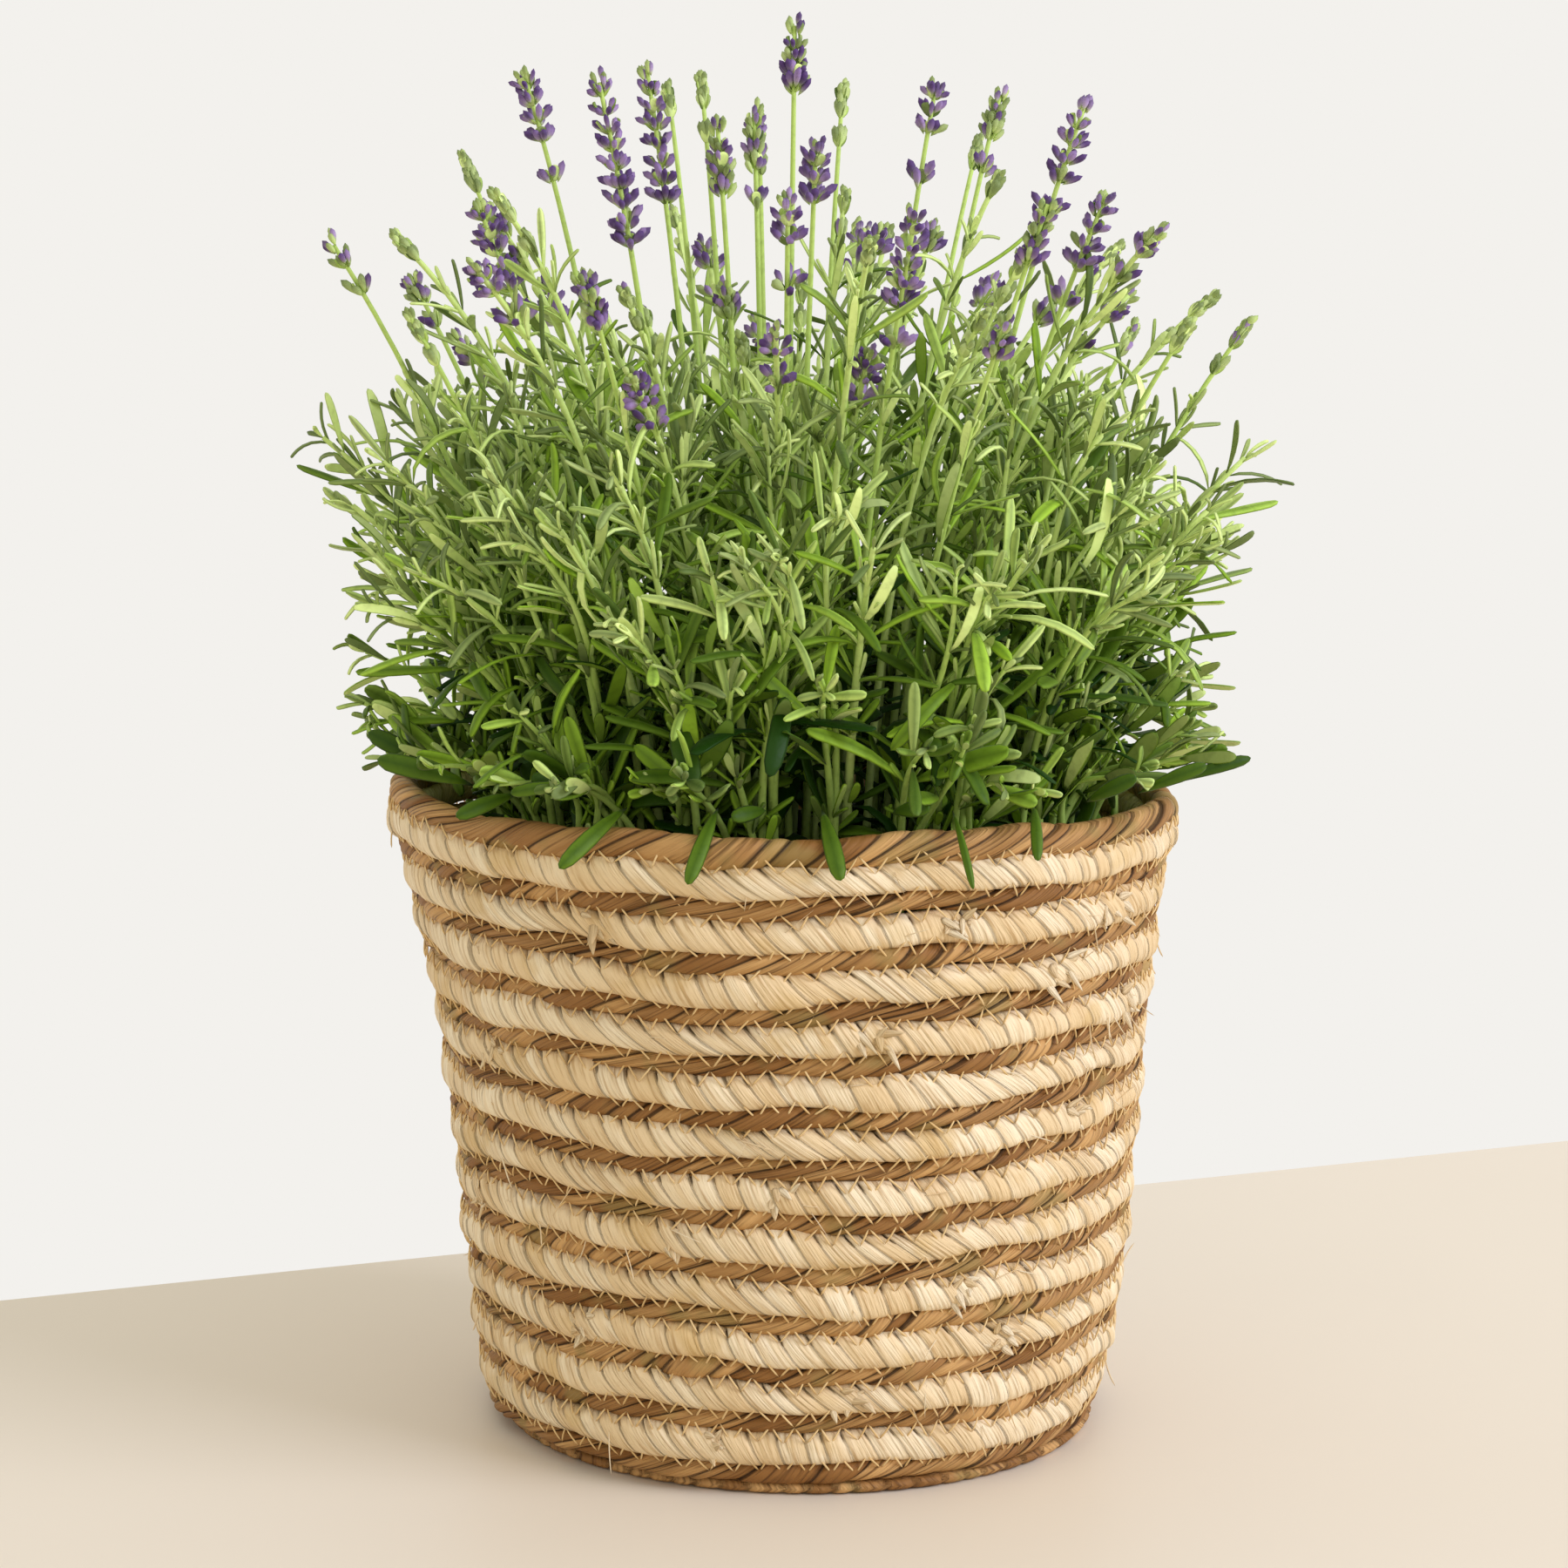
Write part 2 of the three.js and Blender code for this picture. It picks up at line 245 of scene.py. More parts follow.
@dataclass(frozen=True)
class PlantFinish:
    """Everything that grows: stems, leaves and flowers."""

    name: str
    young: Colour = tint(236, 255, 160)
    leaf: Colour = tint(164, 204, 54)
    old: Colour = tint(24, 58, 0)
    stem: Colour = tint(206, 228, 132)
    violet: Colour = tint(190, 154, 216)
    ink: Colour = tint(86, 52, 116)

    def material(self) -> bpy.types.Material:
        """Builds the finish.

        Returns:
            The material, which reads the tags age, tone, bloom, woody and rib.
        """
        net = Net(self.name)
        age, tone = net.tag("age"), net.tag("tone")
        bloom, woody, rib = net.tag("bloom"), net.tag("woody"), net.tag("rib")
        # The age tag also carries painted shade low in the plant.
        colour = net.mix(age.between(0.0, 0.5), self.young, self.leaf)
        colour = net.mix(age.between(0.45, 1.0), colour, self.old)
        # No two leaves are alike, and the midrib and the margins get painted shade.
        colour = net.mix(0.8 * tone.between(0.15, 1.0), colour, self.old)
        colour = net.mix(0.5 * rib, colour, self.old)
        colour = net.mix(woody, colour, self.stem)
        mottle = net.noise(net.place(), 420.0)
        flower = net.mix(tone.between(0.2, 0.9), self.violet, self.ink)
        colour = net.mix(bloom, colour, flower)
        colour = net.mix(0.22 * mottle.between(0.45, 0.8), colour, self.old)
        return net.finish(
            colour, 0.5, mottle, 0.0002, Specular_IOR_Level=0.16, Sheen_Weight=0.03,
            Sheen_Roughness=0.4,
        )


@dataclass(frozen=True)
class PlainFinish:
    """A plain, lightly mottled surface."""

    name: str
    colour: Colour
    other: Colour
    roughness: float
    grain: float = 60.0
    relief: float = 0.0002

    def material(self) -> bpy.types.Material:
        """Builds the finish.

        Returns:
            The material.
        """
        net = Net(self.name)
        grain = net.noise(net.place(), self.grain, 4.0)
        colour = net.mix(grain.between(0.35, 0.7), self.colour, self.other)
        return net.finish(colour, self.roughness, grain, self.relief, Specular_IOR_Level=0.4)


HUSK = FibreFinish(
    "husk", tint(246, 228, 191), tint(230, 201, 152), tint(172, 131, 72), tint(210, 174, 106),
    tint(84, 50, 14), stain_share=0.45, streaks=1.0, streak_share=0.65,
)
SEAGRASS = FibreFinish(
    "seagrass", tint(208, 162, 100), tint(144, 98, 46), tint(84, 50, 14), tint(150, 130, 72),
    tint(44, 24, 6), stain_share=0.55, streaks=0.7, streak_share=0.8, relief=0.0009,
)
SEWING_THREAD = FibreFinish(
    "sewing_thread", tint(236, 206, 150), tint(220, 184, 122), tint(180, 140, 84),
    tint(198, 160, 100), tint(180, 140, 84),
)
GREENERY = PlantFinish("greenery")
POT_PLASTIC = PlainFinish("pot_plastic", tint(46, 45, 44), tint(54, 53, 52), 0.45)
CRUMBLY_SOIL = PlainFinish("crumbly_soil", tint(58, 44, 33), tint(30, 22, 16), 0.95, 140.0, 0.003)
TABLE = PlainFinish("table", tint(226, 214, 193), tint(224, 212, 191), 0.5, 3.0, 0.0)


# ---------------------------------------------------------------- bodies


class Pod:
    """A closed round body along +Z, whose skin is drawn out to any long shape."""

    def __init__(self, bands: int, sides: int) -> None:
        """Makes the body.

        Args:
            bands: Bands of faces from end to end.
            sides: Faces round it.
        """
        body = bmesh.new()
        bmesh.ops.create_uvsphere(body, u_segments=sides, v_segments=bands, radius=1.0)
        self.mesh = bpy.data.meshes.new("pod")
        body.to_mesh(self.mesh)
        body.free()
        self.count = len(self.mesh.vertices)
        co = np.zeros(self.count * 3)
        self.mesh.vertices.foreach_get("co", co)
        x, y, z = co.reshape(-1, 3).T
        around = np.hypot(x, y)
        self.ring = np.rint(np.arctan2(around, -z) / math.pi * bands).astype(int)
        self.along = self.ring / bands
        self.angle = np.where(around > 1e-9, np.arctan2(y, x), 0.0)
        self.solid = np.where((self.ring == 0) | (self.ring == bands), 0, 1)
        # The share of the way between the first and the last open ring.
        self.share = np.clip((self.ring - 1) / (bands - 2), 0, 1)


class Cluster:
    """A mesh gathered from drawn-out pods, each vertex with its tags."""

    def __init__(self) -> None:
        """Starts empty."""
        self.pods: list[tuple[Pod, int]] = []
        self.points: list[np.ndarray] = []
        self.tags: dict[str, list[np.ndarray]] = {}

    def add(self, pod: Pod, points: np.ndarray, **tags: np.ndarray | float) -> None:
        """Adds copies of a pod.

        Args:
            pod: The pod.
            points: Vertices in millimetres, copies by vertices by 3.
            **tags: A value for each vertex of each copy, or one that spreads to them.
        """
        copies = len(points)
        self.pods.append((pod, copies))
        self.points.append(points.reshape(-1, 3))
        for key, value in tags.items():
            vector = key == "lay"
            shape = (copies, pod.count, 3) if vector else (copies, pod.count)
            flat = np.broadcast_to(value, shape).reshape((-1, 3) if vector else -1)
            self.tags.setdefault(key, []).append(flat)

    def piece(
        self, name: str, finish: bpy.types.Material, slot: Slot, *nodes: str
    ) -> bpy.types.Object:
        """Writes the mesh and rides it on the frame.

        Args:
            name: The piece's name.
            finish: Its material.
            slot: Its material slot in the record.
            *nodes: The CAD nodes that it stands for.
        Returns:
            The piece.
        """
        body = bmesh.new()
        for pod, copies in self.pods:
            for _ in range(copies):
                body.from_mesh(pod.mesh)
        mesh = bpy.data.meshes.new(name)
        body.to_mesh(mesh)
        body.free()
        co = np.concatenate(self.points) * MM
        mesh.vertices.foreach_set("co", co.ravel())
        mesh.polygons.foreach_set("use_smooth", np.ones(len(mesh.polygons), bool))
        for key, values in self.tags.items():
            vector = key == "lay"
            layer = mesh.attributes.new(key, "FLOAT_VECTOR" if vector else "FLOAT", "POINT")
            layer.data.foreach_set(
                "vector" if vector else "value", np.concatenate(values).astype(np.float32).ravel()
            )
        mesh.update()
        return mount(name, mesh, finish, slot, *nodes)


def mount(
    name: str, mesh: bpy.types.Mesh, material: bpy.types.Material, slot: Slot, *nodes: str
) -> bpy.types.Object:
    """Puts a mesh in the scene as a piece of the object.

    Args:
        name: The piece's name.
        mesh: Its mesh, in metres.
        material: Its material.
        slot: Its material slot in the record; not used.
        *nodes: The CAD nodes that it stands for.
    Returns:
        The piece.
    """
    mesh.materials.append(material)
    piece = bpy.data.objects.new(name, mesh)
    bpy.context.scene.collection.objects.link(piece)
    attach(piece, "root")
    if nodes:
        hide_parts(*nodes)
    log.info("%s: %d faces", name, len(mesh.polygons))
    return piece


def unit(vectors: np.ndarray) -> np.ndarray:
    """Vectors made one long. The array's last axis is x, y, z."""
    return vectors / np.linalg.norm(vectors, axis=-1, keepdims=True)


def step(low: float, high: float, values: np.ndarray) -> np.ndarray:
    """A smooth step from 0 at low to 1 at high, for each of the values."""
    share = np.clip((values - low) / (high - low), 0, 1)
    return share * share * (3 - 2 * share)


# ---------------------------------------------------------------- basket


@dataclass(frozen=True)
class Wall:
    """The basket's wall: a leaning cone of coiled rows."""

    rim_radius: float = 110
    foot_radius: float = 87.7
    waist_draw: float = 2.8
    foot_draw: float = 4.0
    lean: float = -0.0426
    height: float = 176.8
    foot_z: float = 3.8
    row_pitch: float = 14.0
    climb_share: float = 0.25

    def radius(self, z: np.ndarray) -> np.ndarray:
        """The outside radius.

        Args:
            z: Heights.
        Returns:
            The radius at each.
        """
        t = z / self.height
        spread = self.rim_radius - self.foot_radius
        return self.foot_radius + spread * t - self.waist_draw * 4 * t * (1 - t)

    def climbed(self, turn: np.ndarray) -> np.ndarray:
        """The share of a row that's climbed by each place of its turn."""
        fraction = turn - np.floor(turn)
        return np.clip((fraction - 1 + self.climb_share) / self.climb_share, 0, 1)

    def bearing(self, turn: np.ndarray) -> np.ndarray:
        """The angle from +X at each turn. Cords run clockwise seen from above."""
        return math.pi / 2 - TAU * (turn + self.climb_share / 2)

    def unevenness(self, bearing: np.ndarray, z: np.ndarray) -> tuple[np.ndarray, np.ndarray]:
        """How a hand-sewn wall strays from its true shape.

        Args:
            bearing: Angles round the wall.
            z: Heights.
        Returns:
            The outward and the upward strays.
        """
        # Its foot draws in on the right.
        drawn_in = self.foot_draw * step(40, 4, z) * np.clip(np.cos(bearing + 0.5), 0, 1)
        out = (
            0.8 * np.sin(2 * bearing + z / 37 + 0.7)
            + 0.6 * np.sin(5 * bearing - z / 19)
            + 0.5 * np.sin(13 * bearing + z / 6.0)
            - drawn_in
        )
        up = (
            0.6 * np.sin(3 * bearing + z / 45 + 1)
            + 0.5 * np.sin(8 * bearing - z / 22)
            + 0.3 * np.sin(19 * bearing + z / 9)
        )
        return out, up * step(4, 30, z)

    def points(
        self, bearing: np.ndarray, z: np.ndarray, proud: np.ndarray | float,
        raised: np.ndarray | float = 0.0,
    ) -> np.ndarray:
        """Points by the wall's outside, which stray as it does.

        Args:
            bearing: Angles round the wall.
            z: Heights.
            proud: How far they stand out from the wall.
            raised: How far they are raised.
        Returns:
            The points.
        """
        out, up = self.unevenness(bearing, z)
        reach = self.radius(z) + proud + out
        x, y = reach * np.cos(bearing) + self.lean * z, reach * np.sin(bearing)
        return np.stack([x, y, z + raised + up], -1)


WALL = Wall()


class Wraps:
    """Uneven stretches along a cord, each a wrap of husk or a twist of grass."""

    def __init__(self, seed: int, pitch: float, jitter: float, low: float, high: float) -> None:
        """Lays the stretches out.

        Args:
            seed: The draw's seed.
            pitch: Their mean length.
            jitter: The spread of their lengths, as a share.
            low: Where the first starts.
            high: What the last has to pass.
        """
        draw = np.random.default_rng(seed)
        count = int((high - low) / pitch * 1.1) + 8
        self.lengths = pitch * np.clip(1 + jitter * draw.standard_normal(count), 0.45, 1.9)
        self.edges = low + np.concatenate([[0], np.cumsum(self.lengths)])
        self.tones = draw.random(count + 1)
        self.lifts = draw.standard_normal(count + 1)

    def look(self, at: np.ndarray) -> tuple[np.ndarray, np.ndarray, np.ndarray]:
        """Finds the stretch at each place.

        Args:
            at: Places along the cord.
        Returns:
            Each one's number, the share of it passed, and the distance to its nearer edge.
        """
        number = np.clip(np.searchsorted(self.edges, at) - 1, 0, len(self.lengths) - 1)
        passed = at - self.edges[number]
        share = passed / self.lengths[number]
        return number, share, np.minimum(passed, self.lengths[number] - passed)


@dataclass(frozen=True)
class Cord:
    """One of the two cords that are coiled into the wall."""

    # Its place in the wall and its section.
    offset: float
    height: float
    thickness: float
    inset: float
    # The row in which it thins out, and how far it climbs there.
    last_row: int
    tail_rise: float
    # How square the section is, its faces round and the length of each band of faces.
    power: float
    sides: int
    stride: float
    # The wraps: their length, its spread, and how far they slant.
    pitch: float
    jitter: float
    skew: float
    # The groove between two wraps, and how each wrap swells and stands out.
    groove: float
    groove_width: float
    belly: float
    lift: float
    # The notch where thread pulls a wrap in, and how much painted shade fills a groove.
    pinch: float
    painted_crease_shade: float
    rim_growth: float
    seed: int

    def course(self, turn: np.ndarray) -> tuple[np.ndarray, np.ndarray]:
        """The cord's middle height and relative height.

        Args:
            turn: Unwrapped turns.
        Returns:
            The height and the size at each.
        """
        row = np.floor(turn)
        climbed = WALL.climbed(turn)
        bottom = WALL.foot_z + row * WALL.row_pitch + self.offset
        z = bottom + climbed * WALL.row_pitch + self.height / 2
        size = np.ones_like(turn)
        head, tail = row < 0, row >= self.last_row
        z[head] = (WALL.foot_z + climbed * (self.offset + self.height / 2))[head]
        size[head] = climbed[head]
        size[tail] = 1 - climbed[tail]
        z[tail] = (bottom + climbed * self.tail_rise + size * self.height / 2)[tail]
        return z, size

    def plump(self, right: np.ndarray) -> np.ndarray:
        """How full or thin the cord is by hand-work at each place, about 0."""
        slow = 0.5 * np.sin(right / 17.0 + self.seed)
        return slow + 0.35 * np.sin(right / 7.3 + 2 * self.seed) + 0.35 * np.sin(right / 41.0)

    def body(self, first: float, last: float) -> Cluster:
        """Sweeps a stretch of the cord.

        Args:
            first: The turn it starts at.
            last: The turn it ends at.
        Returns:
            The stretch.
        """
        around = TAU * (WALL.rim_radius + WALL.foot_radius) / 2
        pod = Pod(int((last - first) * around / self.stride), self.sides)
        share = pod.share
        # More faces on the outer side.
        angle = pod.angle - 0.35 * np.sin(pod.angle)
        cos, sin = np.cos(angle), np.sin(angle)
        deep = np.sign(cos) * np.abs(cos) ** (2 / self.power)
        high = np.sign(sin) * np.abs(sin) ** (2 / self.power)
        # Places along the cord, to the right as the wall is seen from outside. The rings of
        # faces slant as the wraps do, so that each wrap's edge lies along a ring.
        wrap_place = -(first + (last - first) * share) * around
        slant = self.skew * (1 + 0.35 * np.sin(wrap_place / 29) + 0.25 * np.sin(wrap_place / 11.3))
        right = wrap_place - slant * high * self.height / 2
        turn = np.clip(-right / around, first, last)
        z, size = self.course(turn)
        plump = self.plump(right)
        rim = step(self.last_row - 0.3, self.last_row, turn) * self.rim_growth
        rise = high * self.height / 2 * (1 + 0.13 * plump + rim)
        wraps = Wraps(self.seed, self.pitch, self.jitter, -14 * around, around)
        number, passed, edge = wraps.look(wrap_place)
        groove = np.exp(-((edge / self.groove_width) ** 2))
        facing = step(-0.3, 0.45, cos)
        upper = step(-0.5, 0.75, high)
        notch = groove * np.exp(-(((high - 0.72) / 0.22) ** 2))
        swell = (
            self.belly * np.sin(math.pi * passed)
            + self.lift * wraps.lifts[number]
            + 0.35 * plump
            - self.groove * groove * (0.1 + 0.9 * upper**2)
            - self.pinch * notch
        )
        radial = (self.thickness / 2 * deep + swell * facing) * pod.solid
        radial *= 0.4 + 0.6 * size
        upward = (rise + 0.25 * swell * high) * size * pod.solid
        proud = radial - self.inset - self.thickness / 2
        points = WALL.points(WALL.bearing(turn), z, proud, upward)
        lay = np.stack([wrap_place, rise, number * 7.3], -1)
        cluster = Cluster()
        # Painted shade in the grooves between wraps and in the notches where thread pulls them in.
        pit = (groove * self.painted_crease_shade + notch * (self.pinch > 0)) * facing
        cluster.add(pod, points[None], lay=lay, tone=wraps.tones[number], pit=pit)
        return cluster


CREAM = Cord(
    offset=4.9, height=9.4, thickness=8.8, inset=-0.3, last_row=11, tail_rise=14.0, power=2.5,
    sides=16, stride=0.78, pitch=7.5, jitter=0.24, skew=0.85, groove=0.36, groove_width=0.5,
    belly=0.24, lift=0.26, pinch=1.9, painted_crease_shade=0.03, rim_growth=0.0, seed=11,
)
BROWN = Cord(
    offset=-0.4, height=6.2, thickness=7.0, inset=1.2, last_row=12, tail_rise=5.6, power=2.1,
    sides=14, stride=0.86, pitch=11.0, jitter=0.42, skew=-2.3, groove=1.1, groove_width=0.9,
    belly=0.6, lift=0.4, pinch=0.0, painted_crease_shade=0.75, rim_growth=0.25, seed=23,
)


@dataclass(frozen=True)
class Seams:
    """The thread that sews the cords together, a zigzag over every joint."""

    leg: float = 3.75
    reach: float = 2.3
    thickness: float = 0.27
    bow: float = 0.35
    turns: int = 12
    # Each joint's height over the foot, and whether the cream cord is the upper one.
    joints: tuple = ((8.95, True), (17.65, False))
    # How deep a knot lies in the cream cord and in the brown one.
    cream_depth: float = 0.1
    brown_depth: float = 1.3
    seed: int = 5

    def body(self) -> Cluster:
        """Sews all the joints.

        Returns:
            The legs of the zigzags.
        """
        draw = np.random.default_rng(self.seed)
        around = TAU * (WALL.rim_radius + WALL.foot_radius) / 2
        per_turn = int(around / self.leg)
        turn = (np.arange(self.turns * per_turn) + 0.25) / per_turn
        turn = turn[turn < self.turns - 0.2]
        cluster = Cluster()
        for height, upper_is_cream in self.joints:
            at = turn + draw.normal(0, 0.12, len(turn)) / per_turn
            row = np.floor(at)
            z = height + (row + WALL.climbed(at)) * WALL.row_pitch
            high = np.arange(len(at)) % 2 == 0
            z = z + np.where(high, 1, -1) * self.reach * draw.normal(1, 0.13, len(at))
            on_cream = high == upper_is_cream
            depth = np.where(on_cream, self.cream_depth, self.brown_depth)
            self.stitch(cluster, WALL.points(WALL.bearing(at), z, -depth), draw)
        return cluster

    def stitch(self, cluster: Cluster, knots: np.ndarray, draw: np.random.Generator) -> None:
        """Runs thread from knot to knot.

        Args:
            cluster: Where the legs go.
            knots: The zigzag's corners.
            draw: The random draw.
        """
        start, end = knots[:-1], knots[1:]
        pod = Pod(4, 4)
        along = unit(end - start)
        out = unit(start * [1, 1, 0])
        side = unit(np.cross(along, out))
        out = np.cross(side, along)
        t = pod.along[None, :, None]
        thick = (self.thickness * pod.solid)[None, :, None]
        points = start[:, None] * (1 - t) + end[:, None] * t
        points = points + out[:, None] * self.bow * np.sin(math.pi * t)
        points = points + out[:, None] * thick * np.sin(pod.angle)[None, :, None]
        points = points - side[:, None] * thick * np.cos(pod.angle)[None, :, None]
        count = len(start)
        lay = np.zeros((count, pod.count, 3))
        lay[..., 0] = np.arange(count)[:, None]
        tone = draw.random(count)[:, None]
        cluster.add(pod, points, lay=lay, tone=tone, pit=0.0)


@dataclass(frozen=True)
class Frays:
    """Torn ends of husk that stand off the cream cord."""

    # Bearing in degrees from the front, positive to the right, height, and size.
    torn: tuple = (
        (12, 131, 12), (43, 133, 10), (62, 124, 10), (-53, 105, 11), (-2, 90, 8), (50, 104, 8),
        (-28, 147, 9), (28, 62, 9), (-40, 47, 8), (8, 34, 8), (-64, 75, 9), (66, 60, 9),
        (-15, 19, 7), (24, 147, 9), (-20, 75, 8), (36, 48, 8), (55, 147, 9), (100, 120, 10),
        (140, 70, 10), (-110, 90, 10), (-150, 40, 9), (180, 130, 10),
    )
    slivers: int = 7
    sliver_half: float = 1.8
    strands: int = 130
    strand_half: float = 0.22
    seed: int = 41

    def body(self) -> Cluster:
        """Tears the husk.

        Returns:
            The slivers.
        """
        draw = np.random.default_rng(self.seed)
        cluster = Cluster()
        for place in self.torn:
            self.tear(cluster, draw, *place, self.slivers, self.sliver_half)
        for _ in range(self.strands):
            place = draw.uniform(-180, 180), draw.uniform(10, 172), draw.uniform(8, 20)
            self.tear(cluster, draw, *place, 1, self.strand_half)
        return cluster

    def tear(
        self, cluster: Cluster, draw: np.random.Generator, degrees: float, height: float,
        size: float, count: int, wide: float,
    ) -> None:
        """Tears slivers at one place.

        Args:
            cluster: Where they go.
            draw: The random draw.
            degrees: The bearing from the front, positive to the right.
            height: The height on the wall.
            size: How long they may be.
            count: How many.
            wide: Half their mean width.
        """
        pod = Pod(8, 6)
        row = round((height - 13.3) / WALL.row_pitch)
        middle = 13.3 + row * WALL.row_pitch
        bearing = math.radians(degrees - 90) + draw.normal(0, size * 0.0025, count)
        z = middle + draw.uniform(-2.5, 3.5, count)
        outward = np.stack([np.cos(bearing), np.sin(bearing), 0 * bearing], -1)
        root = WALL.points(bearing, z, -0.4)
        level = np.stack([-np.sin(bearing), np.cos(bearing), 0 * bearing], -1)
        tilt = draw.normal(-0.7, 0.9, count)[:, None]
        heading = level * np.cos(tilt) + np.array([0, 0, 1]) * np.sin(tilt)
        heading = unit(heading + outward * draw.uniform(0.05, 0.4, count)[:, None])
        side = unit(np.cross(outward, heading))
        face = np.cross(heading, side)
        t = pod.along[None, :, None]
        length = (size * draw.uniform(0.4, 0.75, count))[:, None, None]
        half = (wide * draw.uniform(0.65, 1.35, count))[:, None]
        half = half * np.sin(math.pi * pod.along) ** 0.5
        half = half * pod.solid * (1 - 0.8 * pod.along)
        curl = draw.uniform(-0.15, 0.25, count)[:, None, None] * length * t**2
        points = root[:, None] + heading[:, None] * length * t + outward[:, None] * curl
        points = points + side[:, None] * (half * np.cos(pod.angle))[..., None]
        thin = min(wide, 0.35) * pod.solid * np.sin(pod.angle)
        ripple = 0.4 * np.cos(3 * pod.angle) * half * (wide > 1)
        points = points + face[:, None] * (thin + ripple)[..., None]
        lay = np.stack([half * np.cos(pod.angle) * 3, 8 * pod.along + 0 * half, 0 * half], -1)
        # Painted shade at each sliver's root, by the cord.
        pit = 0.5 * np.clip(1 - 3 * pod.along, 0, 1)
        cluster.add(pod, points, lay=lay, tone=draw.random(count)[:, None], pit=pit)


@dataclass(frozen=True)
class Mat:
    """The flat round mat under the wall, coiled from the brown cord."""

    radius: float = 83.0
    height: float = 3.6
    pitch: float = 6.9
    axis_x: float = -1.2

    def body(self) -> Cluster:
        """Coils the mat.

        Returns:
            The mat.
        """
        turns = self.radius / self.pitch + 0.5
        pod = Pod(2400, 8)
        # Evenly spread along the coil, whose length grows with the square of the turns. Its last
        # turn is a ring that meets itself.
        turn = turns * np.sqrt(pod.share)
        middle = np.minimum(turn, turns - 1) * self.pitch
        bearing = TAU * turn
        length = math.pi * self.pitch * turn**2
        wraps = Wraps(31, 8.0, 0.2, -10, length.max() + 20)
        deep = np.cos(pod.angle) * self.pitch * 0.54 * pod.solid
        rise = np.sin(pod.angle) * self.height * 0.5 * pod.solid
        slanted = length + 1.2 * deep
        number, _, edge = wraps.look(slanted)
        groove = np.exp(-((edge / 0.8) ** 2))
        z = self.height / 2 + rise * (1 - 0.12 * groove)
        reach = middle + deep - groove * np.cos(pod.angle) * 0.8 * (turn > turns - 1)
        x, y = self.axis_x + reach * np.cos(bearing), -reach * np.sin(bearing)
        points = np.stack([x, y, z], -1)
        lay = np.stack([slanted, deep, number * 7.3], -1)
        cluster = Cluster()
        # Painted shade in the grooves between the mat's wraps.
        cluster.add(pod, points[None], lay=lay, tone=wraps.tones[number], pit=groove * 0.5)
        return cluster


class Basket:
    """The coiled basket."""

    def __init__(self) -> None:
        """Makes the basket's finishes."""
        self.husk = HUSK.material()
        self.seagrass = SEAGRASS.material()
        self.thread = SEWING_THREAD.material()

    def build(self) -> None:
        """Builds every piece of the basket."""
        cream, brown = "cream_husk_cord", "brown_seagrass_cord"
        CREAM.body(-0.22, 6.0).piece("cream_cord_lower", self.husk, Slot.HUSK, cream)
        CREAM.body(6.0, 11.97).piece("cream_cord_upper", self.husk, Slot.HUSK, cream)
        BROWN.body(-0.22, 6.0).piece("brown_cord_lower", self.seagrass, Slot.SEAGRASS, brown)
        BROWN.body(6.0, 12.97).piece("brown_cord_upper", self.seagrass, Slot.SEAGRASS, brown)
        Seams().body().piece("sewing_thread", self.thread, Slot.SEAGRASS)
        Frays().body().piece("frayed_husk", self.husk, Slot.HUSK)
        Mat().body().piece("base_mat", self.seagrass, Slot.SEAGRASS, "basket_base")


# ---------------------------------------------------------------- pot and soil


@dataclass(frozen=True)
class PottedSoil:
    """The thin nursery pot and the soil in it."""

    axis_x: float = -3.32
    foot_z: float = 3.8
    rim_z: float = 155.8
    foot_radius: float = 72.5
    rim_radius: float = 90.8
    wall: float = 1.6
    soil_z: float = 141.8
    crown: float = 3.0
    # The pot's drain hole, and its collar's height and overhang.
    drain: float = 9.0
    collar: float = 9.0
    lip: float = 1.0

    def pot(self) -> bpy.types.Mesh:
        """Turns the pot.

        Returns:
            Its mesh.
        """
        floor = self.foot_z + self.wall
        collar = self.rim_z - self.collar
        outline = [
            (self.drain, self.foot_z), (self.foot_radius, self.foot_z),
            (self.rim_radius - self.lip, collar), (self.rim_radius, collar),
            (self.rim_radius, self.rim_z), (self.rim_radius - self.wall, self.rim_z),
            (self.foot_radius - self.wall, floor), (self.drain, floor),
        ]
        body = bmesh.new()
        corners = [body.verts.new((self.axis_x + r, 0, z)) for r, z in outline]
        edges = [body.edges.new(pair) for pair in zip(corners, corners[1:] + corners[:1])]
        bmesh.ops.spin(
            body, geom=corners + edges, cent=(self.axis_x, 0, 0), axis=(0, 0, 1), angle=TAU,
            steps=72, use_merge=True, use_duplicate=False,
        )
        bmesh.ops.recalc_face_normals(body, faces=body.faces)
        bmesh.ops.scale(body, vec=(MM, MM, MM), verts=body.verts)
        mesh = bpy.data.meshes.new("nursery_pot")
        body.to_mesh(mesh)
        body.free()
        return mesh

    def soil(self) -> bpy.types.Mesh:
        """Fills the pot with crumbs.

        Returns:
            The soil's mesh.
        """
        draw = np.random.default_rng(77)
        pod = Pod(60, 96)
        t = pod.along
        top = t >= 0.5
        reach = np.where(top, 2 * (1 - t), np.clip(2 * t * 1.6, 0, 1))
        radius = np.where(top, self.rim_radius - 3.6, self.foot_radius - 2.4) * reach
        z = np.where(top, self.soil_z + self.crown * (1 - reach), self.foot_z + self.wall + 0.4)
        lumps = draw.normal(0, 0.9, pod.count) * (top & (reach < 0.97))
        x, y = self.axis_x + radius * np.cos(pod.angle), radius * np.sin(pod.angle)
        points = np.stack([x, y, z - abs(lumps)], -1)
        mesh = pod.mesh.copy()
        mesh.vertices.foreach_set("co", (points * MM).ravel())
        mesh.update()
        return mesh

    def build(self) -> None:
        """Builds the pot and the soil."""
        mount("pot", self.pot(), POT_PLASTIC.material(), Slot.PLASTIC, "nursery_pot")
        mount("soil", self.soil(), CRUMBLY_SOIL.material(), Slot.SOIL, "potting_soil")


# ---------------------------------------------------------------- plant


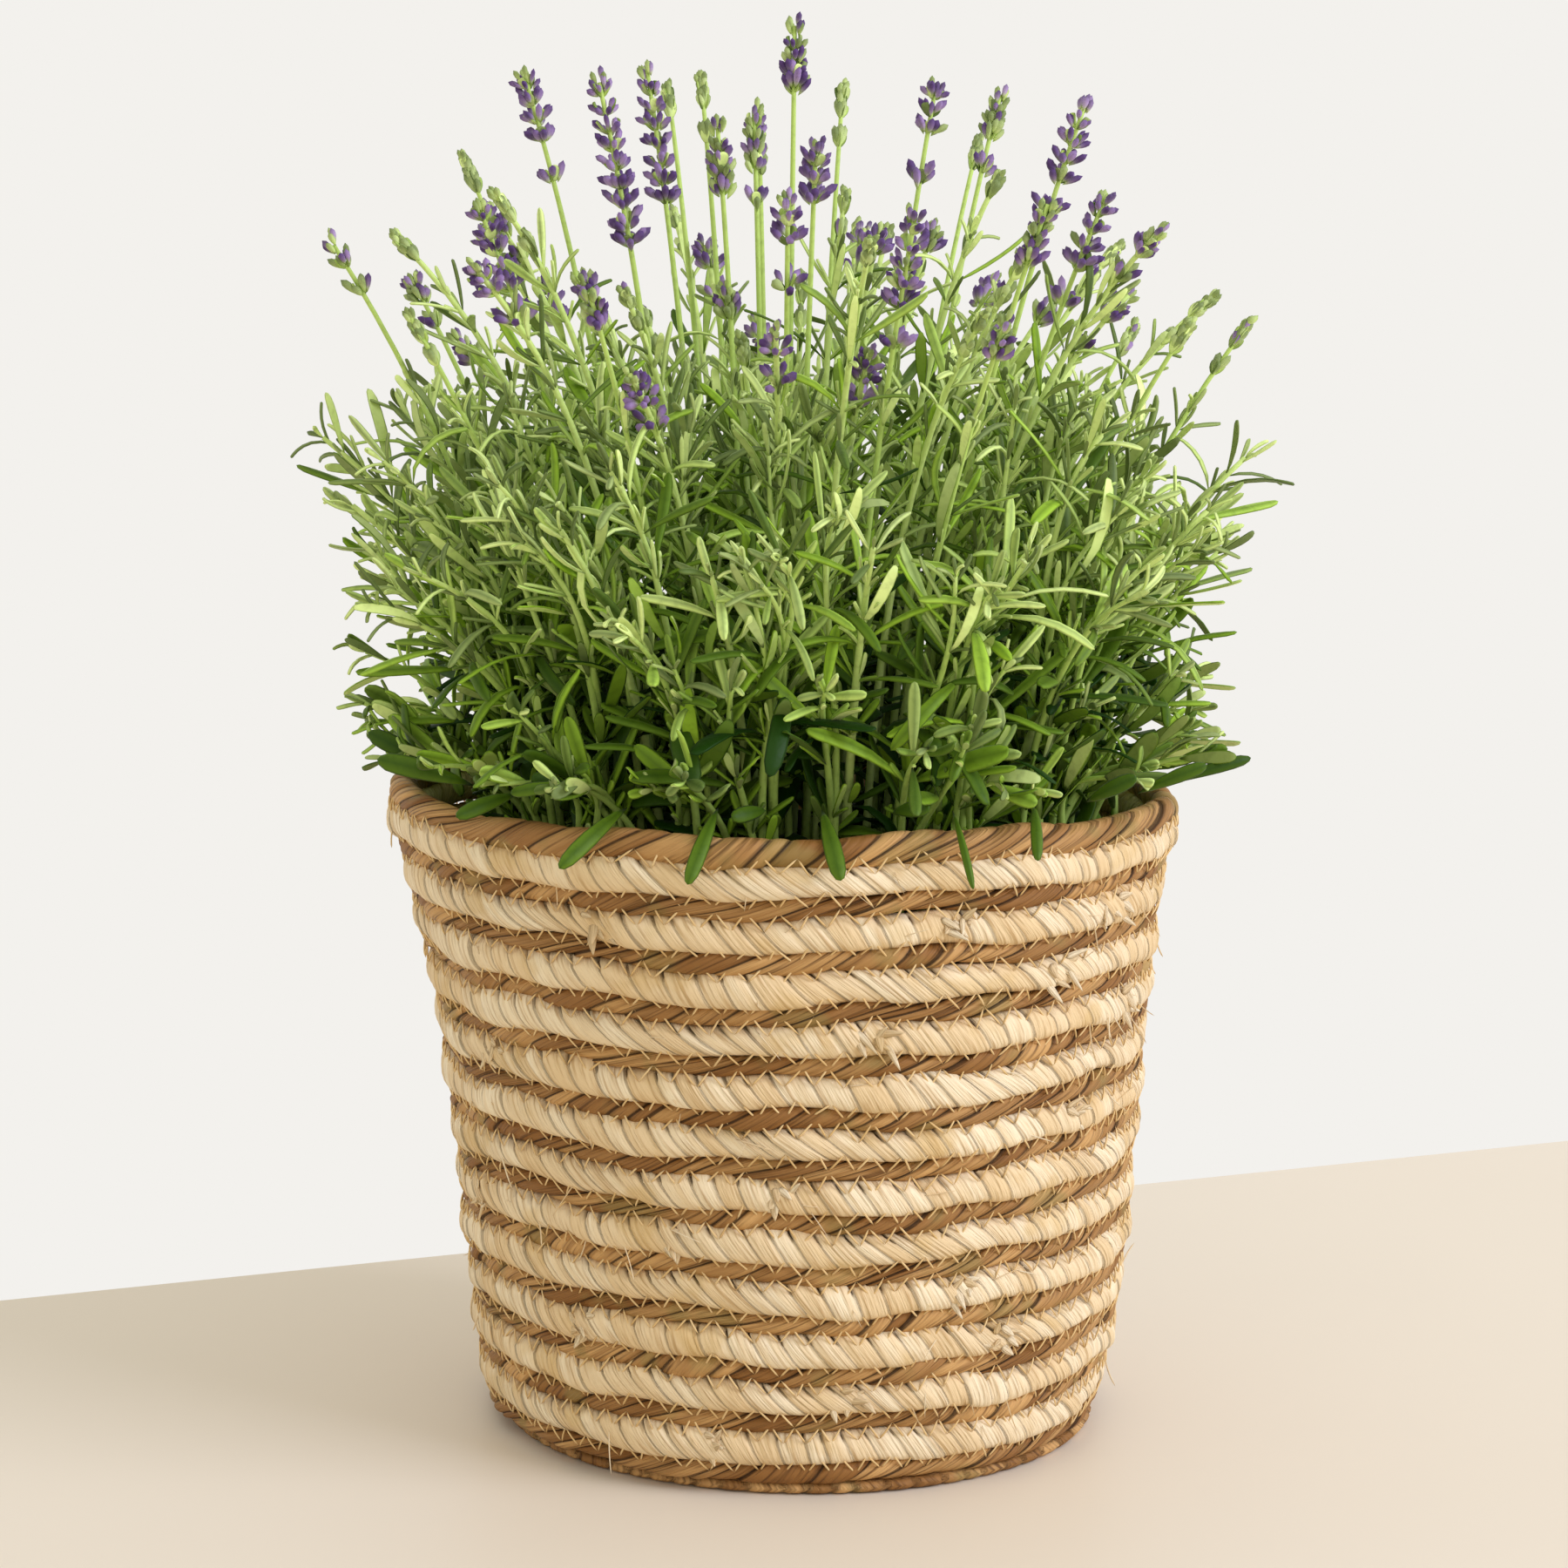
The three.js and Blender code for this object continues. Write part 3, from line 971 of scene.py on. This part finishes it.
@dataclass(frozen=True)
class Stem:
    """A stem's centre line: up from its foot, then leaning to its tip, with a slow sway."""

    foot: tuple
    knee: tuple
    tip: tuple
    sway: tuple = (0.0, 0.0, 0.0)

    @classmethod
    def rising(
        cls, foot: np.ndarray, tip: np.ndarray, share: float = 0.7, sway: tuple = (0.0, 0.0, 0.0)
    ) -> "Stem":
        """A stem that rises by this share of its height before it leans."""
        knee = foot + (tip - foot) * [0, 0, share]
        return cls(tuple(foot), tuple(knee), tuple(tip), tuple(sway))

    @classmethod
    def of_node(cls, name: str, out: float) -> "Stem":
        """The stem of a CAD node.

        Args:
            name: The node's name.
            out: The share of its lean that it has by its knee.
        Returns:
            The stem, from the middle of the lowest ring to the far end.
        """
        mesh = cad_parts[name].data
        co = np.zeros(len(mesh.vertices) * 3)
        mesh.vertices.foreach_get("co", co)
        co = co.reshape(-1, 3) / MM
        low = co[co[:, 2] < co[:, 2].min() + 0.05]
        foot = (low.min(0) + low.max(0)) / 2
        top = co[co[:, 2] > co[:, 2].max() - 0.6]
        tip = top.mean(0)
        knee = foot + (tip - foot) * [out, out, 0.7 - 0.25 * out]
        return cls(tuple(foot), tuple(knee), tuple(tip))

    def corners(self) -> tuple[np.ndarray, np.ndarray, np.ndarray]:
        """Its foot, knee and tip as vectors."""
        return np.array(self.foot), np.array(self.knee), np.array(self.tip)

    def point(self, t: np.ndarray) -> np.ndarray:
        """Points along the stem.

        Args:
            t: Shares of the way, from foot to tip.
        Returns:
            The points.
        """
        t = np.asarray(t, float)[..., None]
        foot, knee, tip = self.corners()
        bend = np.array(self.sway) * np.sin(TAU * t)
        return foot * (1 - t) ** 2 + knee * 2 * t * (1 - t) + tip * t**2 + bend

    def heading(self, t: np.ndarray) -> np.ndarray:
        """Directions along the stem.

        Args:
            t: Shares of the way.
        Returns:
            Unit vectors.
        """
        t = np.asarray(t, float)[..., None]
        foot, knee, tip = self.corners()
        bend = np.array(self.sway) * math.pi * np.cos(TAU * t)
        return unit((knee - foot) * (1 - t) + (tip - knee) * t + bend + 1e-6)

    def length(self) -> float:
        """Its length in millimetres."""
        points = self.point(np.linspace(0, 1, 40))
        return float(np.linalg.norm(np.diff(points, axis=0), axis=1).sum())

    def growths(
        self, below: np.ndarray, bearing: np.ndarray, lean: np.ndarray
    ) -> tuple[np.ndarray, np.ndarray, np.ndarray, np.ndarray]:
        """Where things grow out of the stem, and which way.

        Args:
            below: Distances below its tip.
            bearing: Directions round it.
            lean: Angles away from its heading.
        Returns:
            Roots, the ways straight out, the things' own directions and their upper sides'.
        """
        t = 1 - below / self.length()
        heading = self.heading(t)
        side, face = cross_frame(heading)
        out = side * np.cos(bearing)[:, None] + face * np.sin(bearing)[:, None]
        cos, sin = np.cos(lean)[:, None], np.sin(lean)[:, None]
        return self.point(t), out, heading * cos + out * sin, heading * sin - out * cos


STEM_POD = Pod(18, 7)
LEAF_POD = Pod(7, 8)
CALYX_POD = Pod(5, 5)


def cross_frame(heading: np.ndarray) -> tuple[np.ndarray, np.ndarray]:
    """Two directions square to a heading and to each other.

    Args:
        heading: Unit vectors, mostly upward.
    Returns:
        The side and the face direction, with side x face = heading.
    """
    side = unit(np.cross(heading, np.broadcast_to([0.0, 1.0, 0.001], heading.shape)))
    return side, np.cross(heading, side)


def draw_stem(
    cluster: Cluster, stem: Stem, thick: float, thin: float, age: float, shade: float = 0.0
) -> None:
    """Adds a stem.

    Args:
        cluster: Where it goes.
        stem: Its line.
        thick: Its radius at the foot.
        thin: Its radius at the tip.
        age: Its age tag.
        shade: How much painted shade it gets low in the plant.
    """
    pod = STEM_POD
    side, face = cross_frame(stem.heading(pod.share))
    radius = (thick + (thin - thick) * pod.share) * pod.solid
    points = (
        stem.point(pod.share)
        + side * (radius * np.cos(pod.angle))[:, None]
        + face * (radius * np.sin(pod.angle))[:, None]
    )
    # Painted shade low in the plant, carried by the age tag and by less of the stem colour.
    low = shade * step(250, 195, points[:, 2])
    cluster.add(
        pod, points[None], age=np.clip(age + low, 0, 1), tone=0.3, bloom=0.0,
        woody=(0.95 - 0.5 * age) * (1 - low), rib=0.0,
    )


@dataclass
class Leaves:
    """A batch of leaves, one row each."""

    root: np.ndarray
    along: np.ndarray
    face: np.ndarray
    length: np.ndarray
    width: np.ndarray
    curl: np.ndarray
    age: np.ndarray
    tone: np.ndarray

    least_curl = 0.02
    # Leaves over the first height are clear of the wall. Lower ones may reach as far out as the
    # room at the rim, which narrows below it.
    clear_z = 186
    rim_z = 177
    room = 92
    room_taper = 0.14

    def midribs(self, t: np.ndarray) -> tuple[np.ndarray, np.ndarray, np.ndarray]:
        """How the leaves bend.

        Args:
            t: Shares of the way from root to tip.
        Returns:
            The angles turned through, and the distances ahead and up, with a row for each leaf.
        """
        curl = np.where(np.abs(self.curl) < self.least_curl, self.least_curl, self.curl)[:, None]
        length = self.length[:, None]
        ahead = length * np.sin(curl * t) / curl
        lift = length * (1 - np.cos(curl * t)) / curl
        return curl * t, ahead, lift

    def clear_of_wall(self) -> "Leaves":
        """Leaves out those that would run into the basket's wall.

        Returns:
            The others.
        """
        _, ahead, lift = self.midribs(np.array([[0.6, 1.0]]))
        way = self.root[:, None] + self.along[:, None] * ahead[..., None]
        x, y, z = np.moveaxis(way + self.face[:, None] * lift[..., None], -1, 0)
        room = self.room - self.room_taper * np.clip(self.rim_z - z, 0, 60)
        keep = ((z > self.clear_z) | (np.hypot(x - WALL.lean * z, y) < room)).all(1)
        return Leaves(*(getattr(self, field.name)[keep] for field in fields(self)))

    def grow(self, cluster: Cluster) -> None:
        """Adds the leaves.

        Args:
            cluster: Where they go.
        """
        pod = LEAF_POD
        solid = pod.solid[None]
        # Closer rings towards the rounded tip.
        t = np.sin(pod.along * math.pi / 2)[None, :]
        turned, ahead, lift = self.midribs(t)
        taper = np.sqrt(1 - np.clip((t - 0.78) / 0.22, 0, 1) ** 2.2)
        outline = (0.3 + 0.7 * step(0.0, 0.65, t)) * taper * solid
        cos, sin = np.cos(pod.angle)[None], np.sin(pod.angle)[None]
        half = self.width[:, None] / 2 * outline
        across = half * np.sign(cos) * np.abs(cos) ** 0.75
        # Margins rolled down and, on broad leaves, a shallow trough over the midrib.
        bulge = (0.42 - 0.04 * np.minimum(half, 3)) * sin * solid
        bulge = bulge - np.minimum(0.45 * half, 0.55) * cos**2
        trough = 0.4 * step(1.0, 2.4, half) * (1 - np.abs(cos)) * (sin > 0)
        bulge = bulge - trough * solid
        side = np.cross(self.face, self.along)[:, None]
        along, face = self.along[:, None], self.face[:, None]
        normal = face * np.cos(turned)[..., None] - along * np.sin(turned)[..., None]
        points = (
            self.root[:, None]
            + along * ahead[..., None]
            + face * lift[..., None]
            + side * across[..., None]
            + normal * bulge[..., None]
        )
        # Painted shade over the midrib on the upper side, and along both margins.
        rib = np.clip(1 - 2.2 * np.abs(cos), 0, 1) * (sin > 0) + 0.8 * (np.abs(cos) > 0.95)
        under = 0.35 * (sin < -0.3)
        cluster.add(
            pod, points, age=np.clip(self.age[:, None] - under, 0, 1), tone=self.tone[:, None],
            bloom=0.0, woody=0.0, rib=rib,
        )


# From a shoot's tip: each joint's distance, and its leaves' length and lean from the stem.
GROWTH = (
    (0.5, 7.0, 0.20), (3.0, 12.0, 0.34), (8.5, 18.0, 0.48), (17.0, 24.0, 0.60), (28.0, 27.0, 0.70),
    (40.0, 29.0, 0.80), (53.0, 30.0, 0.90), (67.0, 30.0, 1.00), (82.0, 29.0, 1.10), (98.0, 28.0, 1.2),
    (115.0, 27.0, 1.26), (132.0, 26.0, 1.3),
)


class Foliage:
    """Draws the leaves of stems, with one random draw for the whole plant."""

    # How far below the youngest pair leaves are fully grown, and where tufts start.
    grown_up = 95
    first_tuft = 12

    def __init__(self, seed: int) -> None:
        """Starts the draw.

        Args:
            seed: The draw's seed.
        """
        self.draw = np.random.default_rng(seed)

    def joints(self, top: float, lowest: float, size: float, tufts: int) -> list[tuple]:
        """Draws the leaves at a stem's joints.

        Args:
            top: How far below the tip the youngest pair is.
            lowest: How far below the tip the leaves stop.
            size: The leaves' relative size.
            tufts: Small leaves in each joint's corners.
        Returns:
            A row each: distance below the tip, bearing, length, lean, curl, age, slimness.
        """
        draw = self.draw
        rows = []
        turn = draw.random() * math.pi
        for distance, length, lean in GROWTH:
            distance = top + distance * draw.normal(1.0, 0.07) * (0.7 + 0.3 * size)
            if distance > lowest:
                break
            turn += math.pi / 2 + draw.normal(0, 0.2)
            age = np.clip((distance - top) / self.grown_up, 0, 1)
            for k in range(2):
                bearing = turn + k * math.pi + draw.normal(0, 0.12)
                rows.append((
                    distance, bearing, length * size * draw.normal(1, 0.14),
                    lean + draw.normal(0, 0.14), draw.normal(-0.25 - 0.6 * age, 0.85),
                    age + draw.normal(0, 0.12), 1.0,
                ))
                if distance < self.first_tuft:
                    continue
                for _ in range(tufts):
                    rows.append((
                        distance, bearing + draw.normal(0, 0.5),
                        length * size * draw.uniform(0.25, 0.6), lean * draw.uniform(0.35, 0.85),
                        draw.normal(-0.1, 0.4), age * 0.55, 0.72,
                    ))
        return rows

    def dress(
        self, cluster: Cluster, stem: Stem, top: float, bottom: float, size: float, tufts: int
    ) -> None:
        """Puts leaves in pairs on a stem, each pair square to the last.

        Args:
            cluster: Where they go.
            stem: The stem.
            top: How far below the tip the youngest pair is.
            bottom: How far below the tip the leaves stop.
            size: The leaves' relative size.
            tufts: Small leaves in each joint's corners.
        """
        draw = self.draw
        rows = self.joints(top, min(bottom, stem.length() - 6), size, tufts)
        if not rows:
            return
        distance, bearing, length, lean, curl, age, slim = np.array(rows).T
        root, _, along, upper = stem.growths(distance, bearing, lean)
        roll = draw.normal(0, 0.3, len(rows))[:, None]
        upper = upper * np.cos(roll) + np.cross(upper, along) * np.sin(roll)
        # Leaves low in the plant are broader, and get painted shade.
        low = step(236, 178, root[:, 2])
        width = slim * (1.0 + 0.055 * np.clip(length, 4, 40)) * draw.normal(1, 0.18, len(rows))
        width = width * (1 + 0.3 * np.clip(age, 0, 1)) * (1 + 0.75 * low)
        Leaves(
            root, along, upper, length, np.clip(width, 1.0, 8.0), curl,
            np.clip(age + 0.28 * low, 0, 1), draw.random(len(rows)),
        ).clear_of_wall().grow(cluster)


class Bloom(Enum):
    """How far a spike has come."""

    OPEN = (0.97, 0.95, 5.9, 5.8)
    MIXED = (0.6, 0.66, 4.5, 5.4)
    BUD = (0.04, 0.26, 2.6, 5.6)

    def __init__(self, violet: float, spread: float, pitch: float, grown: float) -> None:
        """Names a stage's measures.

        Args:
            violet: The share of violet calyces.
            spread: How far they lean out.
            pitch: The whorls' spacing.
            grown: The calyces' length.
        """
        self.violet = violet
        self.spread = spread
        self.pitch = pitch
        self.grown = grown


@dataclass(frozen=True)
class Spike:
    """A flower spike: whorls of calyces up a stem's top."""

    length: float
    bloom: Bloom
    lower_whorl: float = 0.0

    def calyces(self, levels: list[float], draw: np.random.Generator) -> np.ndarray:
        """Draws the calyces of each whorl, and the young ones that close the top.

        Args:
            levels: How far below the tip each whorl is.
            draw: The random draw.
        Returns:
            A row each: distance below the tip, bearing, lean, length, width, share of violet.
        """
        bloom = self.bloom
        rows = []
        for number, below in enumerate(levels):
            loose = self.lower_whorl and number == 0
            fullness = 1 - 0.35 * number / max(len(levels), 1)
            count = 6 if loose or bloom is Bloom.BUD else int(8 * fullness + 2)
            turn = draw.random() * TAU
            for k in range(count):
                bearing = turn + TAU * k / count + draw.normal(0, 0.16)
                lean = bloom.spread * draw.uniform(0.45, 1.05)
                rows.append((
                    below + draw.normal(0, 0.8), bearing, lean,
                    bloom.grown * fullness * draw.normal(1, 0.12),
                    0.4 * bloom.grown * fullness * draw.normal(1, 0.1),
                    0.95 if draw.random() < bloom.violet else 0.12,
                ))
        for _ in range(7):
            rows.append((
                2.5 + draw.normal(0, 1.0), draw.random() * TAU, draw.uniform(0.05, 0.4), 4.2, 1.7,
                0.9 if draw.random() < bloom.violet * 0.6 else 0.06,
            ))
        return np.array(rows)

    def grow(self, cluster: Cluster, stem: Stem, draw: np.random.Generator) -> None:
        """Adds the spike.

        Args:
            cluster: Where it goes.
            stem: The stem it tops.
            draw: The random draw.
        """
        levels = list(np.arange(self.length - 2.5, 3.5, -self.bloom.pitch))
        if self.lower_whorl:
            levels.insert(0, self.length + self.lower_whorl)
        below, bearing, lean, length, width, violet = self.calyces(levels, draw).T
        root, out, along, upper = stem.growths(below, bearing, lean)
        root = root + out * (0.3 if self.bloom is Bloom.BUD else 1.1)
        across = np.cross(upper, along)
        pod = CALYX_POD
        where = pod.along[None]
        fat = np.interp(pod.along, (0, 0.2, 0.4, 0.6, 0.8, 1), (0.2, 0.5, 0.85, 1.0, 0.9, 0.2))
        half = width[:, None] / 2 * (fat * pod.solid)[None]
        points = (
            root[:, None]
            + along[:, None] * (length[:, None] * where)[..., None]
            + across[:, None] * (half * np.cos(pod.angle))[..., None]
            + upper[:, None] * (half * np.sin(pod.angle))[..., None]
        )
        tone = draw.random(len(below))[:, None] + np.zeros(pod.count)
        bloom = np.clip(violet[:, None] * step(0.0, 0.5, where), 0, 1)
        tone = np.clip(0.5 * tone + 0.75 * where - 0.1, 0, 1)
        cluster.add(pod, points, age=0.15, tone=tone, bloom=bloom, woody=0.15, rib=0.0)
        self.bracts(cluster, stem, levels, draw)

    def bracts(
        self, cluster: Cluster, stem: Stem, levels: list[float], draw: np.random.Generator
    ) -> None:
        """Adds the two small bracts under each whorl.

        Args:
            cluster: Where they go.
            stem: The stem.
            levels: How far below the tip each whorl is.
            draw: The random draw.
        """
        below = np.repeat(levels, 2) + 1.0
        count = len(below)
        bearing = np.tile([0, math.pi], len(levels)) + np.repeat(draw.random(len(levels)) * TAU, 2)
        lean = draw.uniform(0.6, 1.0, count) * (0.35 + 0.65 * self.bloom.spread)
        root, _, along, upper = stem.growths(below, bearing, lean)
        Leaves(
            root, along, upper, draw.uniform(4.0, 5.6, count), draw.uniform(2.4, 3.4, count),
            np.full(count, 0.5), np.full(count, 0.25), draw.random(count),
        ).grow(cluster)


# How far each of the named flower stalks has come, its spike's length and its loose lower whorl.
STALK_BLOOMS = (
    (Bloom.OPEN, 24, 11), (Bloom.OPEN, 54, 0), (Bloom.OPEN, 46, 0), (Bloom.BUD, 13, 0),
    (Bloom.BUD, 13, 9), (Bloom.MIXED, 24, 0), (Bloom.MIXED, 22, 10), (Bloom.BUD, 13, 7),
    (Bloom.MIXED, 24, 0), (Bloom.BUD, 13, 8), (Bloom.OPEN, 20, 0), (Bloom.OPEN, 16, 12),
    (Bloom.OPEN, 18, 14), (Bloom.OPEN, 32, 10), (Bloom.MIXED, 18, 9), (Bloom.BUD, 13, 0),
    (Bloom.OPEN, 28, 8), (Bloom.MIXED, 22, 0), (Bloom.OPEN, 26, 9), (Bloom.MIXED, 10, 7),
    (Bloom.MIXED, 11, 6), (Bloom.BUD, 11, 5), (Bloom.BUD, 16, 0), (Bloom.OPEN, 30, 8),
    (Bloom.OPEN, 18, 0), (Bloom.BUD, 12, 7), (Bloom.BUD, 12, 0), (Bloom.BUD, 13, 0),
    (Bloom.MIXED, 14, 0), (Bloom.BUD, 15, 0), (Bloom.MIXED, 14, 0),
)


@dataclass(frozen=True)
class Band:
    """A band of unnamed shoots that fill the plant out."""

    count: int
    # The tips' reach from the axis and their height, which falls by a share of the reach.
    inner: float
    outer: float
    low: float
    high: float
    fall: float
    # The leaves' size, and how far below the tip they stop.
    size: float
    bottom: float


BANDS = (
    Band(38, 5, 80, 246, 280, 0.0, 0.95, 90),
    Band(58, 78, 118, 246, 286, 0.1, 0.95, 120),
    Band(44, 100, 130, 214, 262, 0.1, 0.95, 110),
    Band(22, 100, 126, 198, 222, 0.0, 0.9, 70),
    Band(34, 98, 120, 187, 197, 0.0, 0.85, 55),
)


class Lavender:
    """The plant."""

    axis_x = -7.5
    foot_z = 142.5
    # Flower stalks bear leaves below this height.
    bush_z = 274
    # The fillers are written in this many pieces, and their feet stay inside the pot's rim.
    sectors = 8
    foot_reach = 78
    late_stalks = 36
    late_reach = 118
    # Each leaf's root, where its tip hangs, and its width.
    hanging_leaves = (
        (-47, -90, 183, -54, -113, 165, 5.2), (-24, -94, 184, -27, -114, 165, 4.8),
        (2, -95, 184, 4, -114, 167, 5.4), (35, -92, 184, 37, -112, 165, 2.4),
        (56, -84, 184, 56, -106, 172, 3.6), (-88, -64, 184, -108, -80, 179, 6.5),
        (-76, -78, 184, -82, -96, 174, 5.0), (84, -66, 185, 98, -80, 184, 4.5),
        (-12, -92, 183, -14, -106, 178, 5.0), (20, -92, 183, 22, -106, 179, 5.0),
        (70, -76, 184, 76, -92, 182, 5.0), (-96, -46, 184, -117, -58, 185, 6.0),
        (92, -50, 185, 114, -60, 182, 4.0), (-60, -84, 184, -66, -98, 182, 6.0),
    )

    def __init__(self) -> None:
        """Starts the plant's draw and its finish."""
        self.foliage = Foliage(3)
        self.draw = np.random.default_rng(8)
        self.green = GREENERY.material()

    def stalks(self) -> None:
        """Builds the flower stalks."""
        for number, (bloom, length, lower) in enumerate(STALK_BLOOMS, 1):
            node = f"flower_stalk_{number:02d}"
            stem = Stem.of_node(node, out=0.36)
            cluster = Cluster()
            draw_stem(cluster, stem, thick=1.15, thin=0.6, age=0.55, shade=0.4)
            Spike(length, bloom, lower).grow(cluster, stem, self.draw)
            clear = max(stem.tip[2] - self.bush_z, 26)
            self.foliage.dress(cluster, stem, clear, clear + 75, size=0.85, tufts=1)
            cluster.piece(f"stalk_{number:02d}", self.green, Slot.STALK, node)

    def shoots(self) -> None:
        """Builds the leafy shoots that the frame has."""
        for number in range(1, 19):
            node = f"leafy_shoot_{number:02d}"
            stem = Stem.of_node(node, out=0.15)
            cluster = Cluster()
            draw_stem(cluster, stem, thick=1.6, thin=0.7, age=0.2)
            self.foliage.dress(cluster, stem, top=0, bottom=125, size=1.0, tufts=2)
            cluster.piece(f"shoot_{number:02d}", self.green, Slot.SHOOT, node)

    def fillers(self) -> None:
        """Builds the shoots that fill the plant out, in sectors."""
        draw = self.draw
        clusters = [Cluster() for _ in range(self.sectors)]
        for band in BANDS:
            for k in range(band.count):
                bearing = TAU * ((k + draw.random() * 0.8) * GOLDEN_TURN % 1)
                reach = math.sqrt(draw.uniform(band.inner**2, band.outer**2))
                height = draw.uniform(band.low, band.high) - band.fall * (reach - band.inner)
                across = np.array([math.cos(bearing), math.sin(bearing), 0.0])
                tip = across * reach + [self.axis_x, 0, height]
                foot = across * min(self.foot_reach, reach * 0.76)
                foot = foot + [self.axis_x * 0.5, 0, self.foot_z]
                foot[:2] += draw.normal(0, 2.5, 2)
                # The lowest, at the rim, stand straight inside the wall before they lean.
                share = draw.uniform(0.6, 0.9) if height > 198 else 1.0
                stem = Stem.rising(foot, tip, share, (*draw.normal(0, 2.6, 2), 0))
                cluster = clusters[int(bearing / TAU * self.sectors) % self.sectors]
                draw_stem(cluster, stem, thick=1.3, thin=0.55, age=0.2, shade=0.5)
                self.foliage.dress(cluster, stem, 0, band.bottom, band.size, tufts=1 + k % 2)
        for number, cluster in enumerate(clusters, 1):
            cluster.piece(f"filler_shoots_{number}", self.green, Slot.SHOOT)

    def small_stalks(self) -> None:
        """Builds the small late stalks that stand between the named ones."""
        draw = self.draw
        cluster = Cluster()
        for k in range(self.late_stalks):
            bearing = TAU * (k * GOLDEN_TURN % 1)
            reach = self.late_reach * math.sqrt((k + 0.5) / self.late_stalks)
            across = np.array([math.cos(bearing), math.sin(bearing), 0.0])
            tip = across * reach + [self.axis_x, 0, draw.uniform(308, 356) - 0.2 * reach]
            foot = across * reach * 0.45 + [self.axis_x, 0, self.foot_z]
            stem = Stem.rising(foot, tip)
            draw_stem(cluster, stem, thick=1.2, thin=0.7, age=0.15)
            kind = (Bloom.BUD, Bloom.MIXED, Bloom.BUD, Bloom.OPEN)[k % 4]
            Spike(draw.uniform(9, 15), kind, draw.choice([0, 7, 10])).grow(cluster, stem, draw)
            self.foliage.dress(cluster, stem, top=24, bottom=90, size=0.8, tufts=1)
        cluster.piece("late_stalks", self.green, Slot.STALK)

    def overhang(self) -> None:
        """Hangs the few leaves that fall over the rim."""
        cluster = Cluster()
        rows = np.array(self.hanging_leaves, float)
        root = rows[:, :3]
        tip = rows[:, 3:6]
        along = tip - root
        length = np.linalg.norm(along, axis=1) * 1.06
        along = unit(along + [0, -0.1, 0.55] * length[:, None])
        upper = unit(np.cross(along, np.cross([0, -1.0, 0.3], along)))
        count = len(rows)
        Leaves(
            root, along, upper, length, rows[:, 6] * 0.85, np.full(count, -1.05),
            np.full(count, 0.8), np.linspace(0.3, 0.8, count),
        ).grow(cluster)
        cluster.piece("overhanging_leaves", self.green, Slot.SHOOT)

    def build(self) -> None:
        """Builds the whole plant."""
        self.stalks()
        self.shoots()
        self.fillers()
        self.small_stalks()
        self.overhang()


# ---------------------------------------------------------------- room


@dataclass(frozen=True)
class Studio:
    """The plain table, the soft light and the camera."""

    place: tuple = (-0.00756, -1.0482, 0.3284)
    tilt: float = math.pi / 2 - 0.1439
    roll: float = 0.0164
    lens: float = 87.81
    table_half: float = 3.0
    table_edge: tuple = (-0.1063, 0.1517, 0.0)

    def table(self) -> None:
        """Lays the table top, whose far edge runs off to the right."""
        body = bmesh.new()
        bmesh.ops.create_grid(body, x_segments=1, y_segments=1, size=self.table_half)
        bmesh.ops.translate(body, vec=(0, -self.table_half, 0), verts=body.verts)
        turn = Matrix.Rotation(math.atan2(245.1, 530.6), 3, "Z")
        bmesh.ops.rotate(body, matrix=turn, verts=body.verts)
        bmesh.ops.translate(body, vec=self.table_edge, verts=body.verts)
        mesh = bpy.data.meshes.new("table")
        body.to_mesh(mesh)
        body.free()
        mesh.materials.append(TABLE.material())
        table = bpy.data.objects.new("table", mesh)
        bpy.context.scene.collection.objects.link(table)

    def light(self, name: str, place: tuple, size: float, power: float, colour: tuple) -> None:
        """Hangs a soft light that faces the plant.

        Args:
            name: Its name.
            place: Where it hangs, in metres.
            size: Its side, in metres.
            power: Watts.
            colour: Its colour.
        """
        lamp = bpy.data.lights.new(name, "AREA")
        lamp.size = size
        lamp.energy = power
        lamp.color = colour
        holder = bpy.data.objects.new(name, lamp)
        holder.location = place
        aim = Vector((0, 0, 0.2)) - Vector(place)
        holder.rotation_euler = aim.to_track_quat("-Z", "Y").to_euler()
        bpy.context.scene.collection.objects.link(holder)

    def build(self) -> None:
        """Sets the whole room up."""
        self.table()
        world = bpy.data.worlds.new("room")
        world.use_nodes = True
        backdrop = world.node_tree.nodes["Background"]
        backdrop.inputs["Color"].default_value = tint(243, 241, 237)
        backdrop.inputs["Strength"].default_value = 1.0
        bpy.context.scene.world = world
        bpy.context.scene.view_settings.view_transform = "Standard"
        self.light("key", (2.6, -1.2, 1.9), size=1.8, power=66, colour=(0.94, 0.985, 1.25))
        eye = bpy.data.objects.new("camera", bpy.data.cameras.new("camera"))
        eye.data.lens = self.lens
        eye.data.sensor_width = 36
        turn = Matrix.Rotation(self.tilt, 4, "X") @ Matrix.Rotation(self.roll, 4, "Z")
        eye.matrix_world = Matrix.Translation(self.place) @ turn
        bpy.context.scene.collection.objects.link(eye)
        bpy.context.scene.camera = eye


def main() -> None:
    """Builds the object and its room."""
    logging.basicConfig(level=logging.INFO, format="%(message)s", stream=sys.stdout)
    Basket().build()
    PottedSoil().build()
    Lavender().build()
    Studio().build()


if __name__ == "__main__":
    main()
